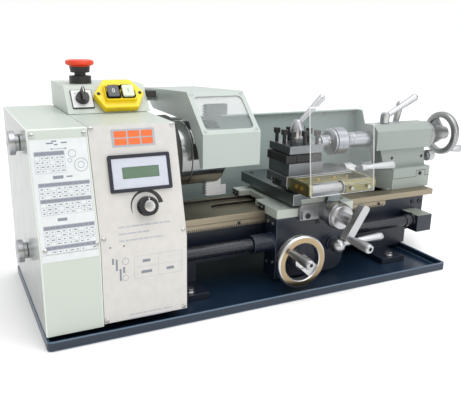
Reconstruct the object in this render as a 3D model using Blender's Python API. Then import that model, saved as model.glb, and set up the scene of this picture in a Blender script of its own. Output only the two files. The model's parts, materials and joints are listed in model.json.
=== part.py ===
"""Bench-top metal lathe, 180 mm swing over the bed, as separate pieces placed for their joints.

X runs along the spindle from the headstock (-X) to the tailstock (+X), the operator stands at -Y and
Z is up. The origin is on the underside of the chip tray, below the spindle's axis. Sizes here are in
millimetres; the helpers turn them into Blender's metres.
"""

import math

import bmesh
import bpy
from mathutils import Matrix, Vector

MM = 0.001
GAP = 0.3  # clearance between neighbouring pieces

# ---- driving dimensions -------------------------------------------------------------------------
CENTRE_HEIGHT = 90.0  # spindle axis above the ways: half the swing
WAY_TOP = 109.4
SPINDLE_Z = WAY_TOP + CENTRE_HEIGHT

TRAY = dict(x0=-366.0, x1=278.0, y0=-149.5, y1=122.0, rim=12.7, sheet=2.5, wall=4.0)

BED_X0, BED_X1 = -290.0, 333.0
BED_BODY_X1 = 316.0
BED_HALF = 50.0
SLAB = 10.0
BED_BOTTOM = 38.0

SEAM_X = -294.4  # gear cover to the left of it, headstock to the right
COVER_X0 = -365.0
HEAD_X1 = -182.9
HEAD_FRONT, HEAD_TOP_FRONT = -141.6, -101.0
HEAD_BEND, HEAD_TOP = 121.0, 261.5
HEAD_BACK = 118.0
COVER_BACK = 126.0
BOX_TOP = 298.0
BOX_FRONT_LOW, BOX_FRONT_HIGH = 7.0, 36.0
BOX_X1 = -178.0

CHUCK_R = 48.0
CHUCK_X0, CHUCK_X1 = -135.0, -80.0
JAW_OUT, JAW_IN = 70.0, 32.0
JAW_WIDTH = 12.0

LEAD_Y, LEAD_Z = -70.0, 65.0
GEAR_MODULE = 1.5
SPINDLE_TEETH, IDLER_TEETH, LEAD_TEETH = 32, 60, 50
GEAR_X0, GEAR_X1 = -337.0, -325.0
MOTOR_Y, MOTOR_Z = 84.0, 68.0

SADDLE_TOP = 119.0
SADDLE_X0, SADDLE_X1 = -15.0, 126.0
SADDLE_FRONT, SADDLE_BACK = -86.0, 62.0
APRON_X1 = 112.0
APRON_BACK = -51.5
CROSS_X0, CROSS_X1 = 9.0, 93.0
CROSS_FRONT, CROSS_BACK = -92.0, 78.0
CROSS_BOTTOM, CROSS_TOP = 125.0, 142.0
CROSS_MID = 48.0

FEED_X, FEED_Z = 70.0, 112.0
WHEEL_X, WHEEL_Z = 5.0, 50.0
HALF_NUT_X, HALF_NUT_Z = 88.0, 54.0

PIVOT_X, PIVOT_Y = 48.0, -55.0
COMPOUND_X0, COMPOUND_X1 = 0.0, 118.0
COMPOUND_TOP = 169.0
POST_X, POST_Y = 33.0, -55.0
POST_HALF = 30.0
POST_TOP = 214.0
GUARD_ROD_Y, GUARD_ROD_Z = -130.0, 159.0

TAIL_AXIS_X0, TAIL_AXIS_X1 = 216.0, 338.0
QUILL_R = 13.2
TAIL_WHEEL_X = 388.0

CHUCK_GUARD_AXIS = (116.0, 272.0)  # y, z of the hinge along X
CHUCK_GUARD_BACK = 172.0
ESTOP_X, ESTOP_Y = -263.0, 65.0

SMOOTH_ANGLE = math.radians(40)


# ---- helpers ------------------------------------------------------------------------------------
def clear_scene():
    for obj in list(bpy.data.objects):
        bpy.data.objects.remove(obj, do_unlink=True)


def paint(name, colour, roughness, metallic=0.0, alpha=1.0):
    """A material with the given base colour, made once and shared by name."""
    if name in bpy.data.materials:
        return bpy.data.materials[name]
    material = bpy.data.materials.new(name)
    material.use_nodes = True
    shader = material.node_tree.nodes["Principled BSDF"]
    shader.inputs["Base Color"].default_value = (*colour, 1.0)
    shader.inputs["Roughness"].default_value = roughness
    shader.inputs["Metallic"].default_value = metallic
    shader.inputs["Alpha"].default_value = alpha
    return material


def grey_green():
    return paint("grey_green_paint", (0.56, 0.62, 0.59), 0.4)


def navy():
    return paint("navy_paint", (0.03, 0.06, 0.10), 0.35)


def silver_paint():
    return paint("silver_paint", (0.80, 0.81, 0.82), 0.45)


def ground_steel():
    return paint("ground_steel", (0.55, 0.54, 0.52), 0.32, 1.0)


def bright_steel():
    return paint("bright_steel", (0.70, 0.70, 0.71), 0.22, 1.0)


def black_oxide():
    return paint("black_oxide", (0.03, 0.03, 0.035), 0.45, 0.6)


def black_plastic():
    return paint("black_plastic", (0.02, 0.02, 0.022), 0.5)


def cast_alloy():
    return paint("cast_alloy", (0.72, 0.73, 0.75), 0.3, 1.0)


def clear_plastic():
    return paint("clear_plastic", (0.90, 0.93, 0.94), 0.08, 0.0, 0.3)


def object_from(bm, name):
    bmesh.ops.remove_doubles(bm, verts=bm.verts, dist=1e-6)
    bmesh.ops.recalc_face_normals(bm, faces=bm.faces)
    mesh = bpy.data.meshes.new(name)
    bm.to_mesh(mesh)
    bm.free()
    obj = bpy.data.objects.new(name, mesh)
    bpy.context.scene.collection.objects.link(obj)
    return obj


def prism(outline, axis, start, end):
    """A closed outline extruded along an axis. The outline holds the other two coordinates, in X, Y, Z order."""
    bm = bmesh.new()
    index = "xyz".index(axis)

    def place(point, along):
        values = list(point)
        values.insert(index, along)
        return bm.verts.new(Vector(values) * MM)

    near = [place(p, start) for p in outline]
    far = [place(p, end) for p in outline]
    bm.faces.new(near)
    bm.faces.new(list(reversed(far)))
    count = len(outline)
    for i in range(count):
        j = (i + 1) % count
        bm.faces.new((near[i], far[i], far[j], near[j]))
    return object_from(bm, "prism")


def block(x0, x1, y0, y1, z0, z1):
    return prism([(x0, y0), (x1, y0), (x1, y1), (x0, y1)], "z", z0, z1)


def rounded(x0, x1, y0, y1, radius, steps=3):
    """A rectangle's outline with round corners."""
    points = []
    corners = ((x1 - radius, y0 + radius, -90), (x1 - radius, y1 - radius, 0),
               (x0 + radius, y1 - radius, 90), (x0 + radius, y0 + radius, 180))
    for cx, cy, first in corners:
        for i in range(steps + 1):
            angle = math.radians(first + 90 * i / steps)
            points.append((cx + radius * math.cos(angle), cy + radius * math.sin(angle)))
    return points


def turned(profile, centre, direction, segments=24):
    """A closed profile of (distance along the axis, radius) spun about an axis through centre."""
    axis = Vector(direction).normalized()
    turn = Vector((0, 0, 1)).rotation_difference(axis).to_matrix()
    bm = bmesh.new()
    rings = []
    for along, radius in profile:
        if radius < 1e-6:
            rings.append([bm.verts.new((Vector(centre) + axis * along) * MM)])
            continue
        ring = []
        for i in range(segments):
            angle = 2 * math.pi * i / segments
            spoke = turn @ Vector((math.cos(angle), math.sin(angle), 0))
            ring.append(bm.verts.new((Vector(centre) + axis * along + spoke * radius) * MM))
        rings.append(ring)
    for k, ring in enumerate(rings):
        other = rings[(k + 1) % len(rings)]
        for i in range(segments):
            j = (i + 1) % segments
            corners = []
            for source, at in ((ring, i), (ring, j), (other, j), (other, i)):
                vert = source[at % len(source)]
                if vert not in corners:
                    corners.append(vert)
            if len(corners) > 2:
                bm.faces.new(corners)
    return object_from(bm, "turned")


def cylinder(start, end, radius, segments=24, end_radius=None):
    """A plain or tapered round bar between two points."""
    run = Vector(end) - Vector(start)
    last = radius if end_radius is None else end_radius
    return turned([(0, 0), (0, radius), (run.length, last), (run.length, 0)], start, run, segments)


def ball(centre, radius, segments=16):
    profile = []
    rings = segments // 2
    for i in range(rings + 1):
        angle = math.pi * i / rings
        profile.append((-radius * math.cos(angle), radius * math.sin(angle)))
    profile[0] = (-radius, 0)
    profile[-1] = (radius, 0)
    return turned(profile, centre, (0, 0, 1), segments)


def combine(target, others, operation):
    """Applies one Boolean for each of the other objects, then removes them."""
    for other in others:
        modifier = target.modifiers.new("combine", "BOOLEAN")
        modifier.operation = operation
        modifier.solver = "EXACT"
        modifier.object = other
        evaluated = target.evaluated_get(bpy.context.evaluated_depsgraph_get())
        mesh = bpy.data.meshes.new_from_object(evaluated)
        target.modifiers.clear()
        target.data = mesh
        bpy.data.objects.remove(other, do_unlink=True)
    return target


def join(first, *others):
    return combine(first, others, "UNION")


def cut(first, *others):
    return combine(first, others, "DIFFERENCE")


def finish(obj, name, material, origin=(0, 0, 0)):
    """Names the piece, puts its origin on its joint's axis and shades it."""
    shift = Vector(origin) * MM
    bm = bmesh.new()
    bm.from_mesh(obj.data)
    bmesh.ops.remove_doubles(bm, verts=bm.verts, dist=2e-6)
    bmesh.ops.dissolve_degenerate(bm, edges=bm.edges, dist=2e-6)
    bmesh.ops.translate(bm, verts=bm.verts, vec=-shift)
    bm.to_mesh(obj.data)
    bm.free()
    obj.location = shift
    obj.name = name
    obj.data.name = name
    obj.data.materials.clear()
    obj.data.materials.append(material)
    obj.data.shade_smooth()
    obj.data.set_sharp_from_angle(angle=SMOOTH_ANGLE)
    return obj


def gear_outline(teeth, centre, phase=0.0):
    """Slim tapered teeth around a root circle, as (y, z) points."""
    pitch_radius = GEAR_MODULE * teeth / 2
    tip = pitch_radius + 0.85 * GEAR_MODULE
    root = pitch_radius - 1.25 * GEAR_MODULE
    step = 2 * math.pi / teeth
    points = []
    for i in range(teeth):
        middle = phase + i * step
        for offset, radius in ((-0.27, root), (-0.11, tip), (0.11, tip), (0.27, root)):
            angle = middle + offset * step
            points.append((centre[0] + radius * math.cos(angle), centre[1] + radius * math.sin(angle)))
    return points


def sheet_outline(points, thickness):
    """A bent strip of sheet: the path, then the same path set back to its left by the thickness."""
    path = [Vector(p) for p in points]
    back = []
    for i, point in enumerate(path):
        before = (point - path[i - 1]).normalized() if i else None
        after = (path[i + 1] - point).normalized() if i + 1 < len(path) else None
        before = before or after
        after = after or before
        normal = (Vector((-before.y, before.x)) + Vector((-after.y, after.x))).normalized()
        scale = thickness / max(0.3, normal.dot(Vector((-before.y, before.x))))
        back.append(point + normal * scale)
    return [tuple(p) for p in path] + [tuple(p) for p in reversed(back)]


# ---- base ---------------------------------------------------------------------------------------
def chip_tray():
    t = TRAY
    outer = prism(rounded(t["x0"], t["x1"], t["y0"], t["y1"], 6), "z", 0, t["rim"])
    inner = prism(rounded(t["x0"] + t["wall"], t["x1"] - t["wall"], t["y0"] + t["wall"], t["y1"] - t["wall"], 4),
                  "z", t["sheet"], t["rim"] + 5)
    return finish(cut(outer, inner), "chip_tray", navy())


def bed():
    slab = block(BED_X0, BED_X1, -BED_HALF, BED_HALF, WAY_TOP - SLAB, WAY_TOP)
    channel = block(BED_X0 - 5, BED_X1 + 5, -26, 40, WAY_TOP - 4.4, WAY_TOP + 5)
    slot = prism(rounded(-79, 312, -8, 24, 15.9, 6), "z", WAY_TOP - SLAB - 5, WAY_TOP + 5)
    slab = cut(slab, channel, slot)
    body = block(BED_X0, BED_BODY_X1, -45, 45, BED_BOTTOM, WAY_TOP - SLAB + 1)
    for x0, x1 in ((-95, 40), (55, 190), (205, 304)):
        body = cut(body, block(x0, x1, -33, 33, BED_BOTTOM - 5, WAY_TOP - SLAB - 0.5))
    left_leg = block(-290, -128, -45, 45, 11, BED_BOTTOM + 1)
    right_leg = prism([(205, 11), (268, 11), (268, TRAY["rim"] + 1), (281, TRAY["rim"] + 1), (281, BED_BOTTOM + 1),
                       (205, BED_BOTTOM + 1)], "y", -45, 45)
    left_foot = block(-180, -128, -95, 95, TRAY["sheet"] + GAP, 12)
    right_foot = block(190, 238, -95, 95, TRAY["sheet"] + GAP, 12)
    return finish(join(slab, body, left_leg, right_leg, left_foot, right_foot), "bed", navy())


def gear_rack():
    x0, x1, pitch = -175.0, 225.0, math.pi
    top, root, tip = WAY_TOP - SLAB - GAP, 91.6, 89.4
    outline = [(x0, top), (x0, root)]
    count = int((x1 - x0) / pitch) - 1
    for i in range(count):
        start = x0 + 1.0 + i * pitch
        outline.append((start, root))
        outline.append((start + pitch * 0.5, tip))
    outline.append((x1, root))
    outline.append((x1, top))
    return finish(prism(outline, "y", -BED_HALF, -45 - GAP), "gear_rack", ground_steel())


def splash_guard():
    back, front = 125.3, 123.0
    top = 234.0
    panel = block(HEAD_X1 + 4, 282, front, back, 4, top)
    lip = block(HEAD_X1 + 4, 282, front - 9, back, top - 2, top)
    wing = prism([(back, 60), (back, top), (101, top), (62, 139), (62, 60)], "x", 280, 282.3)
    return finish(join(panel, lip, wing), "splash_guard", grey_green())


# ---- headstock ----------------------------------------------------------------------------------
def head_profile(back, bottom, inset=0.0):
    """The bent front, the top and the back of the headstock's covers, as (y, z) points."""
    return [
        (HEAD_FRONT + inset, bottom),
        (HEAD_FRONT + inset, HEAD_BEND - inset * 0.15),
        (HEAD_TOP_FRONT + inset * 1.1, HEAD_TOP - inset),
        (back - inset, HEAD_TOP - inset),
        (back - inset, bottom),
    ]


def headstock_casting():
    body = block(-284, HEAD_X1 - 3.4, -52, 80, WAY_TOP + GAP, 250)
    body = cut(body, cylinder((-290, 0, SPINDLE_Z), (-180, 0, SPINDLE_Z), 17.4, 32))
    run = GEAR_MODULE * (SPINDLE_TEETH + IDLER_TEETH) / 2
    spot = idler_centre(run)
    stud = cylinder((-283, *spot), (GEAR_X0 - 6, *spot), 6, 16)
    return finish(join(body, stud), "headstock_casting", navy())


def idler_centre(run):
    """The idler sits on the straight line from the spindle to the lead screw."""
    line = Vector((LEAD_Y, LEAD_Z - SPINDLE_Z)).normalized()
    return (line.x * run, SPINDLE_Z + line.y * run)


def headstock_front_cover():
    shell = prism(head_profile(HEAD_BACK, 19.2), "x", SEAM_X + GAP, HEAD_X1)
    inside = prism(head_profile(HEAD_BACK, 15, 3), "x", SEAM_X - 5, HEAD_X1 - 3)
    bearing = cylinder((HEAD_X1 - 6, 0, SPINDLE_Z), (HEAD_X1 + 5, 0, SPINDLE_Z), 58, 40)
    ways = block(HEAD_X1 - 6, HEAD_X1 + 5, -52, 52, 10, WAY_TOP + 1.5)
    screw = cylinder((HEAD_X1 - 6, LEAD_Y, LEAD_Z), (HEAD_X1 + 5, LEAD_Y, LEAD_Z), 10.5, 24)
    knob = panel_cylinder(-9, 6, 4.6)
    return finish(cut(shell, inside, bearing, ways, screw, knob), "headstock_front_cover", silver_paint())


SPEED_X, SPEED_UP = -232.0, 44.0  # the knob's place on the leaning panel: along X, and up it from the bend


def panel_frame():
    """Origin and outward normal of the speed knob on the leaning panel."""
    up = Vector((0, HEAD_TOP_FRONT - HEAD_FRONT, HEAD_TOP - HEAD_BEND)).normalized()
    outward = Vector((0, -up.z, up.y))
    centre = Vector((SPEED_X, HEAD_FRONT, HEAD_BEND)) + up * SPEED_UP
    return centre, outward


def panel_cylinder(start, end, radius, segments=24):
    centre, outward = panel_frame()
    return cylinder(centre + outward * start, centre + outward * end, radius, segments)


def speed_knob():
    centre, outward = panel_frame()
    profile = [(-6, 0), (-6, 4), (GAP, 4), (GAP, 12), (2, 12), (3, 10.5), (13, 9.5), (14, 8.5), (14, 0)]
    knob = turned(profile, centre, outward, 24)
    return finish(knob, "speed_knob", black_plastic(), centre)


def spindle_bearing_cover():
    profile = [(-186.0, 17.6), (-186.0, 57), (-156, 57), (-152.5, 54), (-152.5, 17.6)]
    cover = turned(profile, (0, 0, SPINDLE_Z), (1, 0, 0), 40)
    return finish(cover, "spindle_bearing_cover", black_oxide())


def gear_cover():
    shell = prism(head_profile(COVER_BACK, 15.5), "x", COVER_X0, SEAM_X)
    inside = prism(head_profile(COVER_BACK, 18.5, 3), "x", COVER_X0 + 3, SEAM_X + 5)
    holes = [cylinder((COVER_X0 - 5, y, z), (COVER_X0 + 8, y, z), 4.5, 16) for y, z in KNOB_SPOTS.values()]
    return finish(cut(shell, inside, *holes), "gear_cover", grey_green())


KNOB_SPOTS = {"cover_knob_upper": (-32.0, 235.0), "cover_knob_lower": (-25.0, 88.5)}


def cover_knob(name):
    y, z = KNOB_SPOTS[name]
    face = -COVER_X0
    profile = [(face - 14, 0), (face - 14, 4), (face + GAP, 4), (face + GAP, 11), (face + 6, 11), (face + 6, 15.5),
               (face + 12.5, 15.5), (face + 14, 14), (face + 14, 0)]
    knob = turned(profile, (0, y, z), (-1, 0, 0), 24)
    return finish(knob, name, bright_steel(), (COVER_X0, y, z))


def electrical_box():
    outline = [(BOX_FRONT_LOW, HEAD_TOP + GAP), (BOX_FRONT_HIGH, BOX_TOP), (COVER_BACK, BOX_TOP),
               (COVER_BACK, HEAD_TOP + GAP)]
    hollow = [(BOX_FRONT_LOW + 5, HEAD_TOP - 5), (BOX_FRONT_HIGH + 2.5, BOX_TOP - 2.5),
              (COVER_BACK - 2.5, BOX_TOP - 2.5), (COVER_BACK - 2.5, HEAD_TOP - 5)]
    box = prism(outline, "x", SEAM_X + GAP, BOX_X1)
    box = cut(box, prism(hollow, "x", SEAM_X + 3, BOX_X1 - 2.5))
    collar = cylinder((ESTOP_X, ESTOP_Y, BOX_TOP - 1), (ESTOP_X, ESTOP_Y, BOX_TOP + 11), 15.5, 32)
    box = join(box, collar)
    box = cut(box, cylinder((ESTOP_X, ESTOP_Y, BOX_TOP - 8), (ESTOP_X, ESTOP_Y, BOX_TOP + 15), 9, 24))
    return finish(box, "electrical_box", grey_green())


def slope_frame():
    """Middle of the electrical box's sloping front, with its upward and outward directions."""
    up = Vector((0, BOX_FRONT_HIGH - BOX_FRONT_LOW, BOX_TOP - HEAD_TOP)).normalized()
    outward = Vector((0, -up.z, up.y))
    middle = Vector((0, (BOX_FRONT_LOW + BOX_FRONT_HIGH) / 2, (HEAD_TOP + BOX_TOP) / 2))
    return middle, up, outward


def slope_prism(outline, centre_x, low, high):
    """An outline of (across, up the slope) points, extruded along the slope's normal."""
    middle, up, outward = slope_frame()
    bm = bmesh.new()
    layers = []
    for height in (low, high):
        points = [middle + Vector((centre_x + u, 0, 0)) + up * v + outward * height for u, v in outline]
        layers.append([bm.verts.new(p * MM) for p in points])
    bm.faces.new(layers[0])
    bm.faces.new(list(reversed(layers[1])))
    for i in range(len(outline)):
        j = (i + 1) % len(outline)
        bm.faces.new((layers[0][i], layers[1][i], layers[1][j], layers[0][j]))
    return object_from(bm, "slope")


SWITCH_X = -221.0
SWITCH_BASE, SWITCH_FACE = 12.0, 18.0
BUTTONS = {"off_button": -10.5, "on_button": 10.5}


def switch_housing():
    base = slope_prism([(-36, 1), (-24, -22), (24, -22), (36, 1), (19, 24), (-19, 24)], SWITCH_X, GAP, SWITCH_BASE)
    raised = slope_prism([(-22, -13), (22, -13), (22, 13), (-22, 13)], SWITCH_X, SWITCH_BASE - 1, SWITCH_FACE)
    housing = join(base, raised)
    for across in BUTTONS.values():
        pocket = [(across - 8.6, -9.6), (across + 8.6, -9.6), (across + 8.6, 9.6), (across - 8.6, 9.6)]
        housing = cut(housing, slope_prism(pocket, SWITCH_X, 6, SWITCH_FACE + 5))
    return finish(housing, "switch_housing", paint("yellow_plastic", (0.85, 0.62, 0.03), 0.45))


def push_button(name):
    across = BUTTONS[name]
    shape = rounded(across - 8.2, across + 8.2, -9.2, 9.2, 2, 2)
    colour = (0.35, 0.36, 0.37) if name == "off_button" else (0.75, 0.80, 0.74)
    button = slope_prism(shape, SWITCH_X, 10, SWITCH_FACE + 3)
    middle, up, outward = slope_frame()
    origin = middle + Vector((SWITCH_X + across, 0, 0)) + outward * SWITCH_FACE
    return finish(button, name, paint(name + "_plastic", colour, 0.4), origin)


ROTARY_X = -271.5


def direction_knob():
    middle, up, outward = slope_frame()
    centre = middle + Vector((ROTARY_X, 0, 0))
    low = 3.0  # the square scale plate lies under the knob
    body = turned([(low, 0), (low, 9.5), (low + 5, 9), (low + 5, 0)], centre, outward, 24)
    grip = slope_prism([(-3.2, -10), (3.2, -10), (2.4, 10.5), (-2.4, 10.5)], ROTARY_X, low + 2, low + 14)
    return finish(join(body, grip), "direction_knob", black_plastic(), centre)


def estop_button():
    base = BOX_TOP
    profile = [(base - 6, 0), (base - 6, 8), (base + 16, 8), (base + 16, 13), (base + 25, 15), (base + 26, 20),
               (base + 31, 20), (base + 33.5, 17), (base + 34, 0)]
    button = turned(profile, (ESTOP_X, ESTOP_Y, 0), (0, 0, 1), 32)
    return finish(button, "estop_button", paint("red_plastic", (0.72, 0.05, 0.02), 0.4), (ESTOP_X, ESTOP_Y, base))


# ---- drive --------------------------------------------------------------------------------------
def motor():
    body = cylinder((-278, MOTOR_Y, MOTOR_Z), (-200, MOTOR_Y, MOTOR_Z), 29, 32)
    bracket = block(-268, -210, BED_HALF + GAP, MOTOR_Y - 20, MOTOR_Z - 14, MOTOR_Z + 14)
    shaft = cylinder((-276, MOTOR_Y, MOTOR_Z), (-298, MOTOR_Y, MOTOR_Z), 7, 16)
    return finish(join(body, bracket, shaft), "motor", black_oxide())


def motor_pulley():
    profile = [(-316, 0), (-316, 17), (-314, 17), (-312, 14), (-302, 14), (-300, 17), (-298.5, 17), (-298.5, 0)]
    wheel = turned(profile, (0, MOTOR_Y, MOTOR_Z), (1, 0, 0), 32)
    return finish(wheel, "motor_pulley", cast_alloy(), (-307, MOTOR_Y, MOTOR_Z))


def drive_belt():
    """A flat loop round both pulleys: two arcs joined by their outer tangents."""
    small, large = 14.0 + GAP, 28.0 + GAP
    a, b = Vector((MOTOR_Y, MOTOR_Z)), Vector((0.0, SPINDLE_Z))
    run = b - a
    base = math.atan2(run.y, run.x)
    lean = math.acos((small - large) / run.length)

    def loop(extra):
        points = []
        for i in range(11):
            angle = base + lean + (2 * math.pi - 2 * lean) * i / 10
            points.append(a + Vector((math.cos(angle), math.sin(angle))) * (small + extra))
        for i in range(15):
            angle = base - lean + 2 * lean * i / 14
            points.append(b + Vector((math.cos(angle), math.sin(angle))) * (large + extra))
        return [tuple(p) for p in points]

    belt = cut(prism(loop(3.0), "x", -312 + GAP, -302 - GAP), prism(loop(0.4), "x", -320, -295))
    return finish(belt, "drive_belt", paint("belt_rubber", (0.02, 0.02, 0.02), 0.8))


def spindle():
    profile = [
        (-345, 10), (-345, 12), (-320, 12), (-320, 17), (-316, 17), (-316, 31), (-314, 31), (-312, 28), (-302, 28),
        (-300, 31), (-298.5, 31), (-298.5, 17), (-152.2, 17), (-152.2, 38), (-143, 38), (-143, 10),
    ]
    shaft = turned(profile, (0, 0, SPINDLE_Z), (1, 0, 0), 32)
    return finish(shaft, "spindle", bright_steel(), (-143, 0, SPINDLE_Z))


def toothed_wheel(name, teeth, centre, bore, phase, hollows):
    blank = prism(gear_outline(teeth, centre, phase), "x", GEAR_X0, GEAR_X1)
    blank = cut(blank, cylinder((GEAR_X0 - 5, *centre), (GEAR_X1 + 5, *centre), bore, 20))
    if hollows:
        rim = GEAR_MODULE * teeth / 2 - 8
        for x0, x1 in ((GEAR_X0 - 5, GEAR_X0 + 3.5), (GEAR_X1 - 3.5, GEAR_X1 + 5)):
            ring = turned([(x0, bore + 7), (x0, rim), (x1, rim), (x1, bore + 7)], (0, *centre), (1, 0, 0), 28)
            blank = cut(blank, ring)
    return finish(blank, name, ground_steel(), (GEAR_X0, *centre))


def mesh_angle():
    """Direction from the spindle down to the idler and on to the lead screw, in the Y-Z plane."""
    return math.atan2(LEAD_Z - SPINDLE_Z, LEAD_Y)


def spindle_gear():
    return toothed_wheel("spindle_gear", SPINDLE_TEETH, (0, SPINDLE_Z), 12 + GAP, mesh_angle(), False)


def idler_gear():
    run = GEAR_MODULE * (SPINDLE_TEETH + IDLER_TEETH) / 2
    half_step = math.pi / IDLER_TEETH
    phase = mesh_angle() + math.pi + half_step
    return toothed_wheel("idler_gear", IDLER_TEETH, idler_centre(run), 6 + GAP, phase, True)


def lead_screw():
    """The screw with its gear: the idler's tooth on the line of centres decides the gear's phase."""
    centre = (LEAD_Y, LEAD_Z)
    gear = prism(gear_outline(LEAD_TEETH, centre, mesh_angle()), "x", GEAR_X0, GEAR_X1)
    shaft = cylinder((-344, *centre), (306, *centre), 5.5, 20)
    return finish(join(gear, shaft), "lead_screw", ground_steel(), (GEAR_X0, *centre))


def leadscrew_cover(name, x0, x1, flange_at):
    if flange_at == "low":
        tube = [(x0, 7), (x0, 14), (x0 + 5, 14), (x0 + 5, 10), (x1, 10), (x1, 7)]
    else:
        tube = [(x0, 7), (x0, 9), (x1 - 16, 9), (x1 - 16, 10.5), (x1 - 4, 10.5), (x1 - 4, 13), (x1, 13), (x1, 7)]
    return finish(turned(tube, (0, LEAD_Y, LEAD_Z), (1, 0, 0), 24), name, black_plastic())


def leadscrew_bracket():
    body = block(268, 300, SADDLE_FRONT, -BED_HALF + 5 - GAP, 47, 76)
    body = cut(body, cylinder((260, LEAD_Y, LEAD_Z), (320, LEAD_Y, LEAD_Z), 5.9, 20))
    return finish(body, "leadscrew_bracket", navy())


# ---- chuck --------------------------------------------------------------------------------------
def chuck_backplate():
    """A disc that the spindle's flange sits into from behind."""
    profile = [(-142.7, 10.3), (-142.7, 38.3), (-152.0, 38.3), (-152.0, CHUCK_R), (-135.3, CHUCK_R), (-135.3, 10.3)]
    plate = turned(profile, (0, 0, SPINDLE_Z), (1, 0, 0), 40)
    return finish(plate, "chuck_backplate", ground_steel(), (-142.7, 0, SPINDLE_Z))


def chuck_body():
    profile = [(CHUCK_X0, 10.3), (CHUCK_X0, CHUCK_R - 1), (CHUCK_X0 + 1, CHUCK_R), (CHUCK_X1 - 2, CHUCK_R),
               (CHUCK_X1, CHUCK_R - 2), (CHUCK_X1, 10.3)]
    body = turned(profile, (0, 0, SPINDLE_Z), (1, 0, 0), 40)
    half = JAW_WIDTH / 2
    upright = block(CHUCK_X1 - 18, CHUCK_X1 + 5, -half, half, SPINDLE_Z - 60, SPINDLE_Z + 60)
    level = block(CHUCK_X1 - 18, CHUCK_X1 + 5, -60, 60, SPINDLE_Z - half, SPINDLE_Z + half)
    return finish(cut(body, upright, level), "chuck_body", bright_steel(), (CHUCK_X0, 0, SPINDLE_Z))


def chuck_jaw(number):
    """A stepped jaw, drawn pointing up and turned to its quarter."""
    foot = CHUCK_X1 - 18 + GAP
    outline = [
        (foot, JAW_IN), (CHUCK_X1 + 1, JAW_IN), (CHUCK_X1 + 1, JAW_IN + 11), (CHUCK_X1 + 10, JAW_IN + 11),
        (CHUCK_X1 + 10, JAW_IN + 22), (CHUCK_X1 + 19, JAW_IN + 22), (CHUCK_X1 + 19, JAW_OUT), (foot + 3, JAW_OUT),
    ]
    pitch = 4.0
    at = JAW_OUT
    while at - pitch > JAW_IN + 4:
        outline.append((foot + 3, at - pitch * 0.5))
        outline.append((foot, at - pitch * 0.5))
        outline.append((foot, at - pitch))
        outline.append((foot + 3, at - pitch))
        at -= pitch
    outline.append((foot + 3, JAW_IN + 3))
    outline.append((foot, JAW_IN + 3))
    half = JAW_WIDTH / 2 - GAP
    jaw = prism([(x, z) for x, z in outline], "y", -half, half)
    turn = Matrix.Rotation(math.radians(90 * (number - 1)), 4, "X")
    jaw.data.transform(Matrix.Translation((0, 0, SPINDLE_Z * MM)) @ turn)
    return finish(jaw, f"chuck_jaw_{number}", ground_steel(), (CHUCK_X1, 0, SPINDLE_Z))


GUARD_X0, GUARD_X1 = -132.0, -42.0


def chuck_guard():
    """Painted sheet: a left wall, and a top, sloping window frame and front bent from one strip."""
    back = CHUCK_GUARD_BACK
    wall_outline = [(-76, 190), (-66, 190), (-58, 212), (-36, 237), (-26, 249), (130, 250), (150, 262), (back, 272),
                    (back, 280), (-17, 290), (-76, 238)]
    wall = prism(wall_outline, "x", GUARD_X0, GUARD_X0 + 2.2)
    strip = prism(sheet_outline([(-76, 190), (-76, 238), (-17, 290), (back, 280)], -2.2), "x", GUARD_X0, GUARD_X1)
    slope = Vector((-17 + 76, 290 - 238)).normalized()
    centre = Vector((-46.5, 264))
    normal = Vector((-slope.y, slope.x))
    frame = rounded(-(GUARD_X1 - GUARD_X0) / 2 + 7, (GUARD_X1 - GUARD_X0) / 2 - 7, -32, 30, 7, 3)
    middle_x = (GUARD_X0 + GUARD_X1) / 2
    bm = bmesh.new()
    layers = []
    for height in (-8, 8):
        ring = []
        for across, up in frame:
            spot = centre + slope * up + normal * height
            ring.append(bm.verts.new(Vector((middle_x + across, spot.x, spot.y)) * MM))
        layers.append(ring)
    bm.faces.new(layers[0])
    bm.faces.new(list(reversed(layers[1])))
    for i in range(len(frame)):
        j = (i + 1) % len(frame)
        bm.faces.new((layers[0][i], layers[1][i], layers[1][j], layers[0][j]))
    window = object_from(bm, "window")
    y, z = CHUCK_GUARD_AXIS
    hub = cylinder((BOX_X1 + GAP, y, z), (GUARD_X0 + 1, y, z), 8, 20)
    wall = join(wall, strip)
    wall = cut(wall, window)
    wall = join(wall, hub)
    return finish(wall, "chuck_guard", grey_green(), (GUARD_X0, y, z))


def chuck_guard_window():
    """A clear pane behind the sloping frame."""
    slope = Vector((-17 + 76, 290 - 238)).normalized()
    inward = Vector((slope.y, -slope.x))
    centre = Vector((-46.5, 264))
    inner = 2.2 + GAP + 0.2
    outline = []
    for along, depth in ((-35, inner), (34, inner), (34, inner + 1.5), (-35, inner + 1.5)):
        spot = centre + slope * along + inward * depth
        outline.append((spot.x, spot.y))
    pane = prism(outline, "x", GUARD_X0 + 2.2 + GAP, GUARD_X1 - 1)
    y, z = CHUCK_GUARD_AXIS
    return finish(pane, "chuck_guard_window", clear_plastic(), (GUARD_X0, y, z))


# ---- carriage -----------------------------------------------------------------------------------
def saddle():
    x0, x1 = SADDLE_X0, SADDLE_X1
    plan = [(x0, SADDLE_FRONT), (x1, SADDLE_FRONT), (x1, -18), (96, -18), (96, 38), (x1, 38), (x1, SADDLE_BACK),
            (x0, SADDLE_BACK), (x0, 38), (4, 38), (4, -18), (x0, -18)]
    plate = prism(plan, "z", WAY_TOP + GAP, SADDLE_TOP)
    lip = block(x0, x1, SADDLE_FRONT, -BED_HALF - GAP, 105.3, WAY_TOP + 1)
    half = 20.0
    tail = prism([(CROSS_MID - half, SADDLE_TOP - 1), (CROSS_MID + half, SADDLE_TOP - 1),
                  (CROSS_MID + half + 5, CROSS_TOP - 9), (CROSS_MID - half - 5, CROSS_TOP - 9)],
                 "y", SADDLE_FRONT, SADDLE_BACK)
    return finish(join(plate, lip, tail), "saddle", grey_green(), (55, 0, WAY_TOP))


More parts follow.
